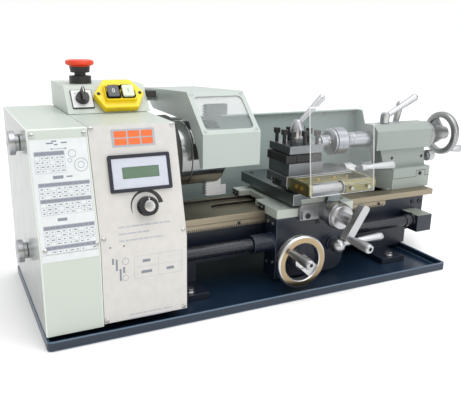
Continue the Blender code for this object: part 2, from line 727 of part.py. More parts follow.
def apron():
    x0, x1 = SADDLE_X0, APRON_X1
    low, high = 8.0, 105.0
    corner = [(x1 - 22 + 22 * math.sin(math.radians(a)), low + 22 - 22 * math.cos(math.radians(a)))
              for a in range(0, 91, 15)]
    plate = prism([(x0, low)] + corner + [(x1, high), (x0, high)], "y", SADDLE_FRONT, APRON_BACK)
    cup = cylinder((x0 + 1, LEAD_Y, LEAD_Z), (x0 - 34, LEAD_Y, LEAD_Z), 14.5, 24)
    wheel_boss = cylinder((WHEEL_X, SADDLE_FRONT + 1, WHEEL_Z), (WHEEL_X, -108, WHEEL_Z), 13, 24)
    lever_boss = cylinder((HALF_NUT_X, SADDLE_FRONT + 1, HALF_NUT_Z), (HALF_NUT_X, -92, HALF_NUT_Z), 12, 24)
    body = join(plate, cup, wheel_boss, lever_boss)
    bore = cylinder((x0 - 40, LEAD_Y, LEAD_Z), (x1 + 10, LEAD_Y, LEAD_Z), 10 + 0.6, 24)
    shaft = cylinder((WHEEL_X, -100, WHEEL_Z), (WHEEL_X, -120, WHEEL_Z), 6 + GAP, 20)
    return finish(cut(body, bore, shaft), "apron", navy(), (55, 0, WAY_TOP))


def handwheel(name, centre, direction, rim_radius, hub_profile, spoke_angle, side):
    """A round-rimmed wheel on a hub, with one web spoke towards its handle."""
    axis = Vector(direction)
    radius = 7.5
    rim_profile = []
    for i in range(10):
        angle = 2 * math.pi * i / 10
        rim_profile.append((radius * 0.85 * math.cos(angle), rim_radius - radius + radius * math.sin(angle)))
    rim = turned(rim_profile, centre, direction, 32)
    hub = turned(hub_profile, centre, direction, 24)
    spoke = prism([(-8, 0), (8, 0), (7, rim_radius - radius), (-7, rim_radius - radius)], "y", -3.5, 3.5)
    turn = Matrix.Rotation(spoke_angle, 4, "Y")
    align = Vector((0, 1, 0)).rotation_difference(axis).to_matrix().to_4x4()
    spoke.data.transform(Matrix.Translation(Vector(centre) * MM) @ side @ align @ turn)
    return finish(join(rim, hub, spoke), name, cast_alloy(), centre)


def apron_handwheel():
    hub = [(-7, 0), (-7, 11), (9, 14), (16.5, 14), (16.5, 6), (23, 6), (23, 0)]
    flip = Matrix.Identity(4)
    return handwheel("apron_handwheel", (WHEEL_X, -125, WHEEL_Z), (0, 1, 0), 41, hub, math.radians(130), flip)


def grip(name, root, direction, profile, segments=16):
    return finish(turned(profile, root, direction, segments), name, bright_steel(), root)


APRON_GRIP = (-19.3, -132.0, 70.2)


def apron_handle():
    profile = [(0, 0), (0, 4.2), (18, 5), (30, 6.8), (50, 7.5), (55, 6), (56, 0)]
    return grip("apron_handle", (APRON_GRIP[0], APRON_GRIP[1] - GAP, APRON_GRIP[2]), (0, -1, 0), profile)


def half_nut_lever():
    x, z = HALF_NUT_X, HALF_NUT_Z
    hub = cylinder((x, -92 - GAP, z), (x, -100, z), 8, 20)
    knob = ball((x, -103, z), 10, 16)
    arm = cylinder((x, -101, z), (x + 36, -99, z + 1), 4.5, 12)
    handle = turned([(0, 0), (0, 5), (4, 6.5), (52, 6.5), (57, 5), (58, 0)], (x + 34, -99, z + 1), (1, 0, 0.02), 16)
    return finish(join(hub, knob, arm, handle), "half_nut_lever", bright_steel(), (x, -92, z))


def crossfeed_bracket():
    front = SADDLE_FRONT - 6
    plate = prism(rounded(22, 100, 100, 124, 3, 2), "y", front, SADDLE_FRONT - GAP)
    boss = cylinder((FEED_X, front + 1, FEED_Z), (FEED_X, -112, FEED_Z), 17, 28, 16)
    lug = block(24, 42, front - 5, front + 1, 102, 116)
    trim = block(0, 120, CROSS_FRONT - 60, SADDLE_FRONT + 5, 124.6, 150)
    body = cut(join(plate, boss, lug), trim)
    bore = cylinder((FEED_X, -80, FEED_Z), (FEED_X, -130, FEED_Z), 5 + GAP, 20)
    return finish(cut(body, bore), "crossfeed_bracket", cast_alloy(), (FEED_X, -92, FEED_Z))


CRANK_LEAN = math.radians(32)
CRANK_ARM = 24.0
CRANK_BACK, CRANK_FACE = -156.5, -169.5


def crossfeed_crank():
    """Dial, screw stub and a leaning two-ended bar."""
    dial = turned([(-136, 0), (-136, 14), (-134, 19.5), (-116, 21), (-112.3, 20), (-112.3, 5), (-95, 5), (-95, 0)],
                  (FEED_X, 0, FEED_Z), (0, 1, 0), 32)
    neck = cylinder((FEED_X, -135, FEED_Z), (FEED_X, CRANK_BACK - 1, FEED_Z), 8.5, 20)
    bar = prism(rounded(-6.5, 6.5, -CRANK_ARM - 5.5, CRANK_ARM + 5.5, 4, 2), "y", CRANK_FACE, CRANK_BACK)
    turn = Matrix.Rotation(CRANK_LEAN, 4, "Y")
    bar.data.transform(Matrix.Translation(Vector((FEED_X, 0, FEED_Z)) * MM) @ turn)
    return finish(join(dial, neck, bar), "crossfeed_crank", cast_alloy(), (FEED_X, -150, FEED_Z))


def crossfeed_handle():
    x = FEED_X - CRANK_ARM * math.sin(CRANK_LEAN)
    z = FEED_Z - CRANK_ARM * math.cos(CRANK_LEAN)
    profile = [(0, 0), (0, 4.5), (5, 5.3), (24, 6.8), (42, 7.2), (45.2, 6), (46, 0)]
    return grip("crossfeed_handle", (x, CRANK_FACE - GAP, z), (0, -1, 0), profile)


def cross_slide():
    outline = [
        (CROSS_X0, CROSS_BOTTOM), (CROSS_MID - 20 - 2.6, CROSS_BOTTOM), (CROSS_MID - 25 - 0.6, CROSS_TOP - 9 + GAP),
        (CROSS_MID + 25 + 0.6, CROSS_TOP - 9 + GAP), (CROSS_MID + 20 + 2.6, CROSS_BOTTOM), (CROSS_X1, CROSS_BOTTOM),
        (CROSS_X1, CROSS_TOP), (CROSS_X0, CROSS_TOP),
    ]
    return finish(prism(outline, "y", CROSS_FRONT, CROSS_BACK), "cross_slide", ground_steel(), (CROSS_MID, 0, CROSS_TOP))


def compound_base():
    disc = cylinder((PIVOT_X, PIVOT_Y, CROSS_TOP + GAP), (PIVOT_X, PIVOT_Y, 150), 29, 32)
    plate = block(COMPOUND_X0 + 6, COMPOUND_X1 - 8, PIVOT_Y - 22, PIVOT_Y + 22, 147, 153)
    tail = prism([(PIVOT_Y - 12, 152), (PIVOT_Y + 12, 152), (PIVOT_Y + 15, 160), (PIVOT_Y - 15, 160)], "x",
                 COMPOUND_X0 + 6, COMPOUND_X1 - 8)
    return finish(join(disc, plate, tail), "compound_base", ground_steel(), (PIVOT_X, PIVOT_Y, CROSS_TOP))


def compound_slide():
    half = 30.0
    low, roof = 153 + GAP, 160 + GAP
    outline = [
        (PIVOT_Y - half, low), (PIVOT_Y - 12.8, low), (PIVOT_Y - 15.6, roof), (PIVOT_Y + 15.6, roof),
        (PIVOT_Y + 12.8, low), (PIVOT_Y + half, low), (PIVOT_Y + half, COMPOUND_TOP), (PIVOT_Y - half, COMPOUND_TOP),
    ]
    body = prism(outline, "x", COMPOUND_X0, COMPOUND_X1)
    return finish(body, "compound_slide", ground_steel(), (PIVOT_X, PIVOT_Y, COMPOUND_TOP))


COMPOUND_AXIS_Z = 162.0
COMPOUND_ARM = 17.0
COMPOUND_TILT = math.radians(19)


def compound_crank():
    plate_end = COMPOUND_X1 + 6
    axis = (0, PIVOT_Y, COMPOUND_AXIS_Z)
    dial = turned([(plate_end + GAP, 0), (plate_end + GAP, 12), (plate_end + 16, 12), (plate_end + 17, 8),
                   (plate_end + 24, 8), (plate_end + 24, 0)], axis, (1, 0, 0), 28)
    arm = prism(rounded(-COMPOUND_ARM - 6, 7, -6, 6, 5, 3), "x", plate_end + 23, plate_end + 32)
    turn = Matrix.Rotation(-COMPOUND_TILT, 4, "X")
    arm.data.transform(Matrix.Translation(Vector((0, PIVOT_Y, COMPOUND_AXIS_Z)) * MM) @ turn)
    return finish(join(dial, arm), "compound_crank", cast_alloy(), (plate_end, PIVOT_Y, COMPOUND_AXIS_Z))


def compound_handle():
    profile = [(0, 0), (0, 4), (4, 4.4), (30, 6.2), (55, 7.4), (57.4, 6), (58, 0)]
    y = PIVOT_Y - COMPOUND_ARM * math.cos(COMPOUND_TILT)
    z = COMPOUND_AXIS_Z + COMPOUND_ARM * math.sin(COMPOUND_TILT)
    root = (COMPOUND_X1 + 38 + GAP, y, z)
    return grip("compound_handle", root, (1, 0, 0), profile)


def toolpost():
    """A square block with a tool slot along every side."""
    x0, x1 = POST_X - POST_HALF, POST_X + POST_HALF
    y0, y1 = POST_Y - POST_HALF, POST_Y + POST_HALF
    body = block(x0, x1, y0, y1, COMPOUND_TOP + GAP, POST_TOP)
    slot_low, slot_high, core = 188.0, 202.0, 13.0
    ring = block(x0 - 5, x1 + 5, y0 - 5, y1 + 5, slot_low, slot_high)
    ring = cut(ring, block(POST_X - core, POST_X + core, POST_Y - core, POST_Y + core, slot_low - 5, slot_high + 5))
    body = cut(body, ring)
    boss = cylinder((POST_X, POST_Y, POST_TOP - 1), (POST_X, POST_Y, POST_TOP + 6), 9, 20)
    return finish(join(body, boss), "toolpost", ground_steel(), (POST_X, POST_Y, COMPOUND_TOP))


def toolpost_handle():
    base = POST_TOP + 6 + GAP
    hub = turned([(base, 0), (base, 11.5), (base + 17, 11.5), (base + 28, 5), (base + 28, 0)],
                 (POST_X, POST_Y, 0), (0, 0, 1), 24)
    lever = cylinder((POST_X, POST_Y, base + 20), (POST_X + 41, POST_Y, base + 59), 3.8, 14, 5.2)
    tip = ball((POST_X + 41, POST_Y, base + 59), 5.8, 14)
    return finish(join(hub, lever, tip), "toolpost_handle", bright_steel(), (POST_X, POST_Y, base))


def guard_arm(x0, x1, front, back, low, high):
    """A flat arm with its two front corners cut off, so that the screen's inner face clears them."""
    corner = 3.0
    outline = [(front, low + corner), (front + corner, low), (back, low), (back, high), (front + corner, high),
               (front, high - corner)]
    return prism(outline, "x", x0, x1)


def tool_guard_bracket():
    """Two arms bolted to the compound slide, with the rod that the screen swings on between them."""
    front, back = GUARD_ROD_Y - 9, PIVOT_Y - 30 - GAP
    low, high = 150.0, 168.0
    left = guard_arm(COMPOUND_X0 + 5, COMPOUND_X0 + 11, front + 2, back, low, high)
    right = guard_arm(COMPOUND_X1 + GAP, COMPOUND_X1 + 6, front + 2, PIVOT_Y + 28, low + 4, high)
    rod = cylinder((COMPOUND_X0 + 7, GUARD_ROD_Y, GUARD_ROD_Z), (COMPOUND_X1 + 5, GUARD_ROD_Y, GUARD_ROD_Z), 6.5, 24)
    return finish(join(left, right, rod), "tool_guard_bracket", bright_steel(), (COMPOUND_X0, GUARD_ROD_Y, GUARD_ROD_Z))


def tool_guard_screen():
    """A bent clear screen with the sleeve that carries it on the rod."""
    outline = sheet_outline([(-144, 152), (-144, 156), (-129, 276), (-109, 298)], -2.5)
    screen = prism(outline, "x", 4, 116)
    sleeve = turned([(64, 6.5 + GAP), (64, 10), (117.5, 10), (117.5, 6.5 + GAP)], (0, GUARD_ROD_Y, GUARD_ROD_Z),
                    (1, 0, 0), 24)
    bridge = block(66, 112, GUARD_ROD_Y - 13, GUARD_ROD_Y - 8.5, GUARD_ROD_Z - 3, GUARD_ROD_Z + 3)
    return finish(join(screen, bridge, sleeve), "tool_guard_screen", clear_plastic(),
                  (4, GUARD_ROD_Y, GUARD_ROD_Z))


# ---- tailstock ----------------------------------------------------------------------------------
def tailstock_base():
    outline = [(256, -29), (340, -29), (340, 40), (236, 40), (236, 12)]
    plate = prism(outline, "z", WAY_TOP + GAP, 129)
    tongue = block(250, 330, -25.2, 39.2, WAY_TOP - 3.6, WAY_TOP + 1)
    clamp = block(272, 296, -7.4, 23.4, 101.5, WAY_TOP)
    return finish(join(plate, tongue, clamp), "tailstock_base", grey_green(), (300, 0, WAY_TOP))


def tailstock_body():
    z = SPINDLE_Z
    barrel_outline = [(-25, z - 17.4), (25, z - 17.4), (25, z + 15), (13, z + 24.6), (-13, z + 24.6), (-25, z + 15)]
    barrel = prism(barrel_outline, "x", TAIL_AXIS_X0, TAIL_AXIS_X1)
    web = prism([(246, 146), (340, 146), (334, z - 16), (232, z - 16)], "y", -15, 18)
    flange_outline = [(256, -29), (340, -29), (340, 40), (236, 40), (236, 12)]
    flange = prism(flange_outline, "z", 129 + GAP, 147)
    bore = cylinder((200, 0, z), (350, 0, z), QUILL_R + GAP, 28)
    body = cut(join(barrel, web, flange), bore)
    lock_hole = cylinder((250, 0, z), (250, 0, z + 40), 4 + GAP, 16)
    return finish(cut(body, lock_hole), "tailstock_body", grey_green(), (300, 0, z))


def quill():
    profile = [(177, 6), (177, QUILL_R - 1), (178, QUILL_R), (330, QUILL_R), (330, 5), (215, 5), (205, 6)]
    return finish(turned(profile, (0, 0, SPINDLE_Z), (1, 0, 0), 28), "quill", bright_steel(), (177, 0, SPINDLE_Z))


def live_centre():
    """Revolving centre: a 60 degree point on a nose, in a fat body with a shank in the quill."""
    profile = [(100, 0), (113, 7.5), (113, 11), (131, 11), (131, 19), (134, 22.5), (168, 22.5), (175, 16),
               (176.7, 16), (176.7, 5.6), (200, 5.2), (200, 0)]
    return finish(turned(profile, (0, 0, SPINDLE_Z), (1, 0, 0), 32), "live_centre", bright_steel(),
                  (176, 0, SPINDLE_Z))


def tail_handwheel():
    hub = [(-49.4, 0), (-49.4, 24), (-38, 24), (-34, 20), (-14, 17), (-6, 13), (8, 12), (8, 5), (12, 5), (12, 0)]
    turn = Matrix.Identity(4)
    wheel = handwheel("tail_handwheel", (TAIL_WHEEL_X, 0, SPINDLE_Z), (1, 0, 0), 40, hub, math.radians(-45), turn)
    return wheel


TAIL_GRIP = (TAIL_WHEEL_X + 6.6, -22.0, 172.0)


def tail_handle():
    profile = [(0, 0), (0, 4), (4, 5), (14, 6.5), (26, 7), (29, 6), (30, 0)]
    return grip("tail_handle", (TAIL_GRIP[0] + GAP, TAIL_GRIP[1], TAIL_GRIP[2]), (1, 0, 0), profile)


def quill_lock_lever():
    base = SPINDLE_Z + 24.6 + GAP
    post = turned([(SPINDLE_Z + QUILL_R + GAP, 0), (SPINDLE_Z + QUILL_R + GAP, 4), (base, 4), (base, 8), (base + 16, 8),
                   (base + 19, 6), (base + 19, 0)], (250, 0, 0), (0, 0, 1), 20)
    lever = cylinder((252, 0, base + 12), (312, 0, base + 42), 4, 12, 6.5)
    tip = ball((312, 0, base + 42), 6.8, 14)
    return finish(join(post, lever, tip), "quill_lock_lever", bright_steel(), (250, 0, base))


def tail_clamp_lever():
    pivot = (300, 0, 168)
    boss = cylinder((pivot[0], 18 + GAP, pivot[2]), (pivot[0], 46, pivot[2]), 9, 20)
    lever = cylinder((pivot[0], 40, pivot[2]), (318, 40, 250), 4, 12, 6.5)
    tip = ball((318, 40, 250), 7.5, 14)
    return finish(join(boss, lever, tip), "tailstock_clamp_lever", bright_steel(), (pivot[0], 30, pivot[2]))


def build_all():
    clear_scene()
    chip_tray()
    bed()
    gear_rack()
    splash_guard()
    headstock_casting()
    headstock_front_cover()
    speed_knob()
    spindle_bearing_cover()
    gear_cover()
    for name in KNOB_SPOTS:
        cover_knob(name)
    electrical_box()
    switch_housing()
    for name in BUTTONS:
        push_button(name)
    direction_knob()
    estop_button()
    motor()
    motor_pulley()
    drive_belt()
    spindle()
    spindle_gear()
    idler_gear()
    lead_screw()
    leadscrew_cover("leadscrew_cover_left", HEAD_X1 + GAP, 45, "low")
    leadscrew_cover("leadscrew_cover_right", 72, 268 - GAP, "high")
    leadscrew_bracket()
    chuck_backplate()
    chuck_body()
    for number in (1, 2, 3, 4):
        chuck_jaw(number)
    chuck_guard()
    chuck_guard_window()
    saddle()
    apron()
    apron_handwheel()
    apron_handle()
    half_nut_lever()
    crossfeed_bracket()
    crossfeed_crank()
    crossfeed_handle()
    cross_slide()
    compound_base()
    compound_slide()
    compound_crank()
    compound_handle()
    toolpost()
    toolpost_handle()
    tool_guard_bracket()
    tool_guard_screen()
    tailstock_base()
    tailstock_body()
    quill()
    live_centre()
    tail_handwheel()
    tail_handle()
    quill_lock_lever()
    tail_clamp_lever()


build_all()
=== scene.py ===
"""Looks for the bench-top lathe: finished surfaces, fasteners, graduations, panels, lights and camera.

Lengths here are millimetres in the frame's own coordinates; the helpers turn them into metres.
"""

import json
import math

import bmesh
import bpy
from mathutils import Matrix, Vector

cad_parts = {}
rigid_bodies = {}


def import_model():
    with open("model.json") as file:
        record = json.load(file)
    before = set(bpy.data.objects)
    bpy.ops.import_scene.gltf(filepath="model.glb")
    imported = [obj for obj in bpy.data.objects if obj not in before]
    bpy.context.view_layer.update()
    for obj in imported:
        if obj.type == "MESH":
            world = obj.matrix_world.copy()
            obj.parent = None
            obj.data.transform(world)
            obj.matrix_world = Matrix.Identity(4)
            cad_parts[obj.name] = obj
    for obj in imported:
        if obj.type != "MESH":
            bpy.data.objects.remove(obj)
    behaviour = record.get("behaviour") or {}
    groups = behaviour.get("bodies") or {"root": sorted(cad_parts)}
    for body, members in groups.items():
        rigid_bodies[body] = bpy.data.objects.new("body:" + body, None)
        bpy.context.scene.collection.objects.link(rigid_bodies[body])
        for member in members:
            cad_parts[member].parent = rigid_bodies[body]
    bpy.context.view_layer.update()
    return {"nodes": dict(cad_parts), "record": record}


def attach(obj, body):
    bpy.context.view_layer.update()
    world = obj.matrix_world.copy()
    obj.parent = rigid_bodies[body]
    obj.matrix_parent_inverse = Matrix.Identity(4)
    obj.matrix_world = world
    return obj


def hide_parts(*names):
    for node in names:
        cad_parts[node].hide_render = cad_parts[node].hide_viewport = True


MM = 0.001
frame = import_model()
BODY_OF = {node: body for body, nodes in frame["record"]["behaviour"]["bodies"].items() for node in nodes}

# Places that several pieces share, in millimetres.
SPINDLE_Z = 199.4
WAY_TOP = 109.4
LEAD_SCREW = (0, -70, 65)
POST_X, POST_Y = 33, -55
COMPOUND_AXIS = (0, POST_Y, 162)
CROSSFEED = (70, 0, 112)
APRON_WHEEL = (5, -125, 50)
GUARD_ROD = (0, -130, 159)
STOP_BUTTON = (-263, 65, 298)
SPEED_KNOB = (-232.0, 44.0)
DIRECTION_X, SWITCH_X, OFF_X, ON_X = -271.5, -221, -231.5, -210.5

ROUND = 96  # sides of a turned shape


# ---- materials ----------------------------------------------------------------------------------
def srgb(red, green, blue):
    """A screen colour of 0 to 255 as the linear colour that the shader wants."""
    values = []
    for value in (red, green, blue):
        share = value / 255
        values.append(share / 12.92 if share <= 0.04045 else ((share + 0.055) / 1.055) ** 2.4)
    return (*values, 1.0)


class Finish:
    """Builds one procedural material, node by node."""

    def __init__(self, name, roughness, metallic=0.0, **sockets):
        self.material = bpy.data.materials.new(name)
        self.material.use_nodes = True
        self.tree = self.material.node_tree
        self.shader = self.tree.nodes["Principled BSDF"]
        self.shader.inputs["Roughness"].default_value = roughness
        self.shader.inputs["Metallic"].default_value = metallic
        for socket, value in sockets.items():
            self.shader.inputs[socket.replace("_", " ")].default_value = value
        self.place = self.add("ShaderNodeTexCoord").outputs["Object"]

    def add(self, kind, inputs=None, **settings):
        node = self.tree.nodes.new(kind)
        for key, value in settings.items():
            setattr(node, key, value)
        for key, value in (inputs or {}).items():
            if isinstance(value, bpy.types.NodeSocket):
                self.tree.links.new(value, node.inputs[key])
            else:
                node.inputs[key].default_value = value
        return node

    def stretched(self, scale):
        return self.add("ShaderNodeMapping", {"Vector": self.place, "Scale": scale}).outputs["Vector"]

    def noise(self, vector, scale, detail=3.0, rough=0.5):
        settings = {"Vector": vector, "Scale": scale, "Detail": detail, "Roughness": rough}
        return self.add("ShaderNodeTexNoise", settings).outputs["Fac"]

    def spread(self, value, low, high, start=0.3, end=0.7):
        """Maps a noise value to a range."""
        inputs = {"Value": value, "From Min": start, "From Max": end, "To Min": low, "To Max": high}
        return self.add("ShaderNodeMapRange", inputs).outputs["Result"]

    def blend(self, factor, first, second):
        node = self.add("ShaderNodeMix", data_type="RGBA")
        self.tree.links.new(factor, node.inputs[0])
        for index, colour in ((6, first), (7, second)):
            if isinstance(colour, bpy.types.NodeSocket):
                self.tree.links.new(colour, node.inputs[index])
            else:
                node.inputs[index].default_value = colour
        return node.outputs[2]

    def wire(self, socket, value):
        self.tree.links.new(value, self.shader.inputs[socket])

    def bump(self, height, strength, distance):
        node = self.add("ShaderNodeBump", {"Height": height, "Strength": strength, "Distance": distance})
        self.wire("Normal", node.outputs["Normal"])


def shade(colour, factor):
    return (colour[0] * factor, colour[1] * factor, colour[2] * factor, 1.0)


def enamel(name, colour, roughness, peel=0.25, cloud=0.90):
    """Sprayed paint: faint clouding, fine orange peel and small specks of dust."""
    f = Finish(name, roughness, Coat_Weight=0.12, Coat_Roughness=0.25)
    clouds = f.spread(f.noise(f.place, 4.0, 2.0), 0.0, 1.0)
    base = f.blend(clouds, shade(colour, cloud), colour)
    specks = f.spread(f.noise(f.place, 900.0, 2.0), 0.0, 0.3, 0.68, 0.82)
    f.wire("Base Color", f.blend(specks, base, shade(colour, 0.86)))
    f.wire("Roughness", f.spread(f.noise(f.place, 30.0, 3.0), roughness * 0.92, roughness * 1.1))
    f.bump(f.noise(f.place, 420.0, 2.0), peel * 0.5, 0.0001)
    return f.material


def ground(name, colour, roughness, scale, wear=0.75):
    """Machined flat metal: fine straight tool marks and soft patches of oil."""
    f = Finish(name, roughness, 1.0, Anisotropic=0.3)
    marks = f.noise(f.stretched(scale), 1.0, 2.0, 0.5)
    patches = f.spread(f.noise(f.place, 9.0, 3.0), 0.0, 1.0)
    lined = f.blend(f.spread(marks, 0.0, 1.0), shade(colour, 0.93), colour)
    f.wire("Base Color", f.blend(patches, shade(colour, wear), lined))
    f.wire("Roughness", f.spread(marks, roughness * 0.88, roughness * 1.14))
    f.bump(marks, 0.06, 0.00004)
    return f.material


def lathe_turned(name, colour, roughness, axis, centre=(0, 0, 0), rings=900.0, wear=0.85):
    """Turned metal: fine rings round an axis, on its faces as well as its sides."""
    f = Finish(name, roughness, 1.0, Anisotropic=0.2)
    shift = [-value * MM for value in centre]
    moved = f.add("ShaderNodeMapping", {"Vector": f.place, "Location": shift}).outputs["Vector"]
    parts = f.add("ShaderNodeSeparateXYZ", {"Vector": moved}).outputs
    along = parts["XYZ".index(axis)]
    others = [parts[i] for i in range(3) if "XYZ"[i] != axis]
    squares = [f.add("ShaderNodeMath", {0: part, 1: part},
                     operation="MULTIPLY").outputs[0] for part in others]
    total = f.add("ShaderNodeMath", {0: squares[0], 1: squares[1]}, operation="ADD").outputs[0]
    radius = f.add("ShaderNodeMath", {0: total}, operation="SQRT").outputs[0]
    place = f.add("ShaderNodeCombineXYZ", {"X": along, "Y": radius}).outputs[0]
    marks = f.noise(place, rings * 2.5, 2.0, 0.5)
    patches = f.spread(f.noise(f.place, 14.0, 3.0), 0.0, 1.0)
    lined = f.blend(f.spread(marks, 0.0, 1.0), shade(colour, 0.94), colour)
    f.wire("Base Color", f.blend(patches, shade(colour, wear), lined))
    f.wire("Roughness", f.spread(marks, roughness * 0.9, roughness * 1.12))
    f.bump(marks, 0.05, 0.00003)
    return f.material


def moulded(name, colour, roughness, grain=0.2, size=1400.0):
    """Moulded plastic or rubber with a fine grain."""
    f = Finish(name, roughness)
    cloud = f.spread(f.noise(f.place, 40.0, 3.0), 0.0, 1.0)
    f.wire("Base Color", f.blend(cloud, shade(colour, 0.86), colour))
    f.wire("Roughness", f.spread(f.noise(f.place, 220.0, 3.0), roughness * 0.85, roughness * 1.15))
    f.bump(f.noise(f.place, size, 2.0), grain, 0.00008)
    return f.material


def printed(name, colour, roughness=0.45):
    """A printed or anodised face with slight unevenness."""
    f = Finish(name, roughness)
    cloud = f.spread(f.noise(f.place, 90.0, 4.0), 0.0, 1.0)
    f.wire("Base Color", f.blend(cloud, shade(colour, 0.93), colour))
    f.wire("Roughness", f.spread(f.noise(f.place, 300.0, 2.0), roughness * 0.9, roughness * 1.1))
    return f.material


def clear(name, alpha, tint=(0.93, 0.96, 0.97, 1.0), roughness=0.04):
    """Clear sheet, with faint haze and fingerprints in its alpha."""
    f = Finish(name, roughness, Specular_IOR_Level=0.5)
    haze = f.spread(f.noise(f.place, 14.0, 5.0), alpha * 0.85, alpha * 1.2)
    f.wire("Alpha", haze)
    f.shader.inputs["Base Color"].default_value = tint
    f.wire("Roughness", f.spread(f.noise(f.place, 45.0, 4.0), roughness, roughness * 3))
    return f.material


GREEN = srgb(184, 193, 186)
NAVY = srgb(18, 27, 43)

M = {
    "green": enamel("grey_green_enamel", GREEN, 0.42, 0.2, 0.97),
    # The lighter edge enamels colour the bevels of painted parts: a painted highlight along their edges.
    "green_edge_highlight": enamel("grey_green_edge", srgb(212, 219, 213), 0.38, 0.1, 0.98),
    # Painted shade: a darker copy of the green for faces turned to −X, which the light misses.
    "green_shaded_side": enamel("painted_shade_side_enamel", srgb(134, 141, 138), 0.2, 0.15, 0.9),
    "green_tail": enamel("tailstock_enamel", srgb(144, 153, 149), 0.42, 0.2, 0.96),
    "green_tail_edge_highlight": enamel("tailstock_edge_highlight", srgb(184, 194, 189), 0.38, 0.1, 0.98),
    "guard_green": enamel("guard_enamel", srgb(170, 180, 176), 0.42, 0.2, 0.97),
    "splash": enamel("splash_green_enamel", srgb(158, 174, 172), 0.5, 0.2, 0.96),
    "navy": enamel("navy_enamel", NAVY, 0.42, 0.3, 0.86),
    "navy_edge_highlight": enamel("navy_edge_highlight", srgb(48, 60, 80), 0.36, 0.1, 0.95),
    "tray": enamel("tray_enamel", srgb(20, 38, 57), 0.3, 0.1, 0.84),
    "tray_edge_highlight": enamel("tray_edge_highlight", srgb(72, 94, 116), 0.32, 0.1, 0.95),
    # Painted reflection: the lighter green-grey for the top faces of the lead screw bracket.
    "bracket": enamel("bracket_top_painted_reflection", srgb(122, 129, 120), 0.42, 0.2, 0.95),
    "panel": printed("front_panel_silver", srgb(196, 195, 193), 0.4),
    "ways": ground("ground_ways", srgb(154, 145, 127), 0.42, (8.0, 3200.0, 3200.0), 0.94),
    "steel_x": ground("milled_steel_x", srgb(122, 128, 130), 0.36, (30.0, 2400.0, 2400.0), 0.9),
    "steel_y": ground("milled_steel_y", srgb(118, 125, 128), 0.36, (2400.0, 30.0, 2400.0), 0.9),
    # Bright bevels on steel parts: partly polished wear, partly a painted highlight along the edges.
    "steel_edge_wear_and_highlight": ground("steel_edge_wear_and_highlight", srgb(196, 198, 198), 0.3, (60.0, 60.0, 60.0), 0.97),
    "block": ground("post_steel", srgb(128, 132, 136), 0.34, (2400.0, 60.0, 2400.0), 0.92),
    # Toolpost slot faces: dark for the black coating of the slots and for the shade deep in them (painted
    # shade).
    "block_dark": ground("post_slot_oxide_and_shade", srgb(24, 25, 27), 0.5, (900.0, 60.0, 900.0), 0.8),
    "oxide": moulded("black_oxide", srgb(25, 25, 28), 0.5, 0.1, 2200.0),
    "black": moulded("black_moulding", srgb(22, 22, 26), 0.42),
    "tube": moulded("tube_moulding", srgb(24, 28, 38), 0.28, 0.05),
    "dark_steel": ground("dark_steel", srgb(70, 72, 75), 0.4, (400.0, 400.0, 400.0), 0.85),
    "alloy": ground("cast_alloy", srgb(162, 164, 167), 0.4, (260.0, 260.0, 260.0), 0.95),
    "zinc": ground("yellow_zinc", srgb(134, 130, 92), 0.36, (90.0, 90.0, 90.0), 0.92),
    "bright_y": lathe_turned("bright_turned_y", srgb(196, 197, 198), 0.28, "Y"),
    "spindle": lathe_turned("spindle_steel", srgb(158, 161, 168), 0.3, "X", (0, 0, SPINDLE_Z), 1200.0),
    "chuck": lathe_turned("chuck_steel", srgb(146, 149, 148), 0.15, "X", (0, 0, SPINDLE_Z), 2400.0, 0.93),
    "jaw": ground("jaw_steel", srgb(166, 168, 168), 0.32, (300.0, 300.0, 300.0), 0.88),
    "wheel": lathe_turned("wheel_alloy", srgb(206, 207, 208), 0.28, "Y",
                          (APRON_WHEEL[0], 0, APRON_WHEEL[2]), 1100.0, 0.95),
    # Painted reflection: a warm tan for the front face of the handwheel rim.
    "wheel_rim_warm_reflection": lathe_turned("apron_wheel_rim_warm_reflection", srgb(168, 150, 120), 0.3, "Y",
                               (APRON_WHEEL[0], 0, APRON_WHEEL[2]), 1100.0, 0.95),
    "tail_wheel": lathe_turned("tail_wheel_alloy", srgb(160, 162, 162), 0.3, "X", (0, 0, SPINDLE_Z), 1100.0),
    "yellow": moulded("yellow_moulding", srgb(244, 212, 0), 0.36, 0.06),
    "red": moulded("stop_red", srgb(222, 56, 6), 0.36, 0.05),
    "grey_button": moulded("grey_button", srgb(70, 74, 78), 0.4, 0.08),
    "pale_button": moulded("pale_button", srgb(206, 216, 194), 0.4, 0.08),
    "white_print": printed("white_print", srgb(222, 223, 224)),
    "display": printed("display_plate", srgb(188, 194, 206)),
    "bezel": moulded("display_moulding", srgb(26, 30, 44), 0.4, 0.08),
    "chart": printed("chart_plate", srgb(208, 213, 216), 0.4),
    "ink": printed("grey_ink", srgb(118, 124, 136), 0.5),
    "ink_light": printed("light_ink", srgb(160, 166, 174), 0.5),
    "ink_faint": printed("faint_ink", srgb(164, 169, 178), 0.5),
    "ink_black": printed("black_ink", srgb(40, 40, 44), 0.5),
    "ink_bar": printed("bar_ink", srgb(126, 132, 144), 0.5),
    "orange": printed("orange_print", srgb(222, 104, 48), 0.45),
    "lcd": printed("lcd_glass", srgb(92, 116, 98), 0.3),
    "screen": clear("clear_screen", 0.045),
    "screen_edge": clear("clear_screen_edge", 0.72, (0.93, 0.95, 0.97, 1.0), 0.12),
    # Painted shade: the dark grey tint stands for the shaded inside of the guard seen through the window.
    "window": clear("clear_window_painted_shade", 0.30, (0.24, 0.28, 0.28, 1.0)),
    "rubber": moulded("belt_rubber", srgb(26, 26, 27), 0.75, 0.3, 900.0),
    "brass": lathe_turned("brass", srgb(190, 158, 86), 0.3, "Y"),
}


def handle_metal(name, axis, centre):
    return lathe_turned(name, srgb(180, 182, 185), 0.34, axis, centre, 1400.0, 0.96)


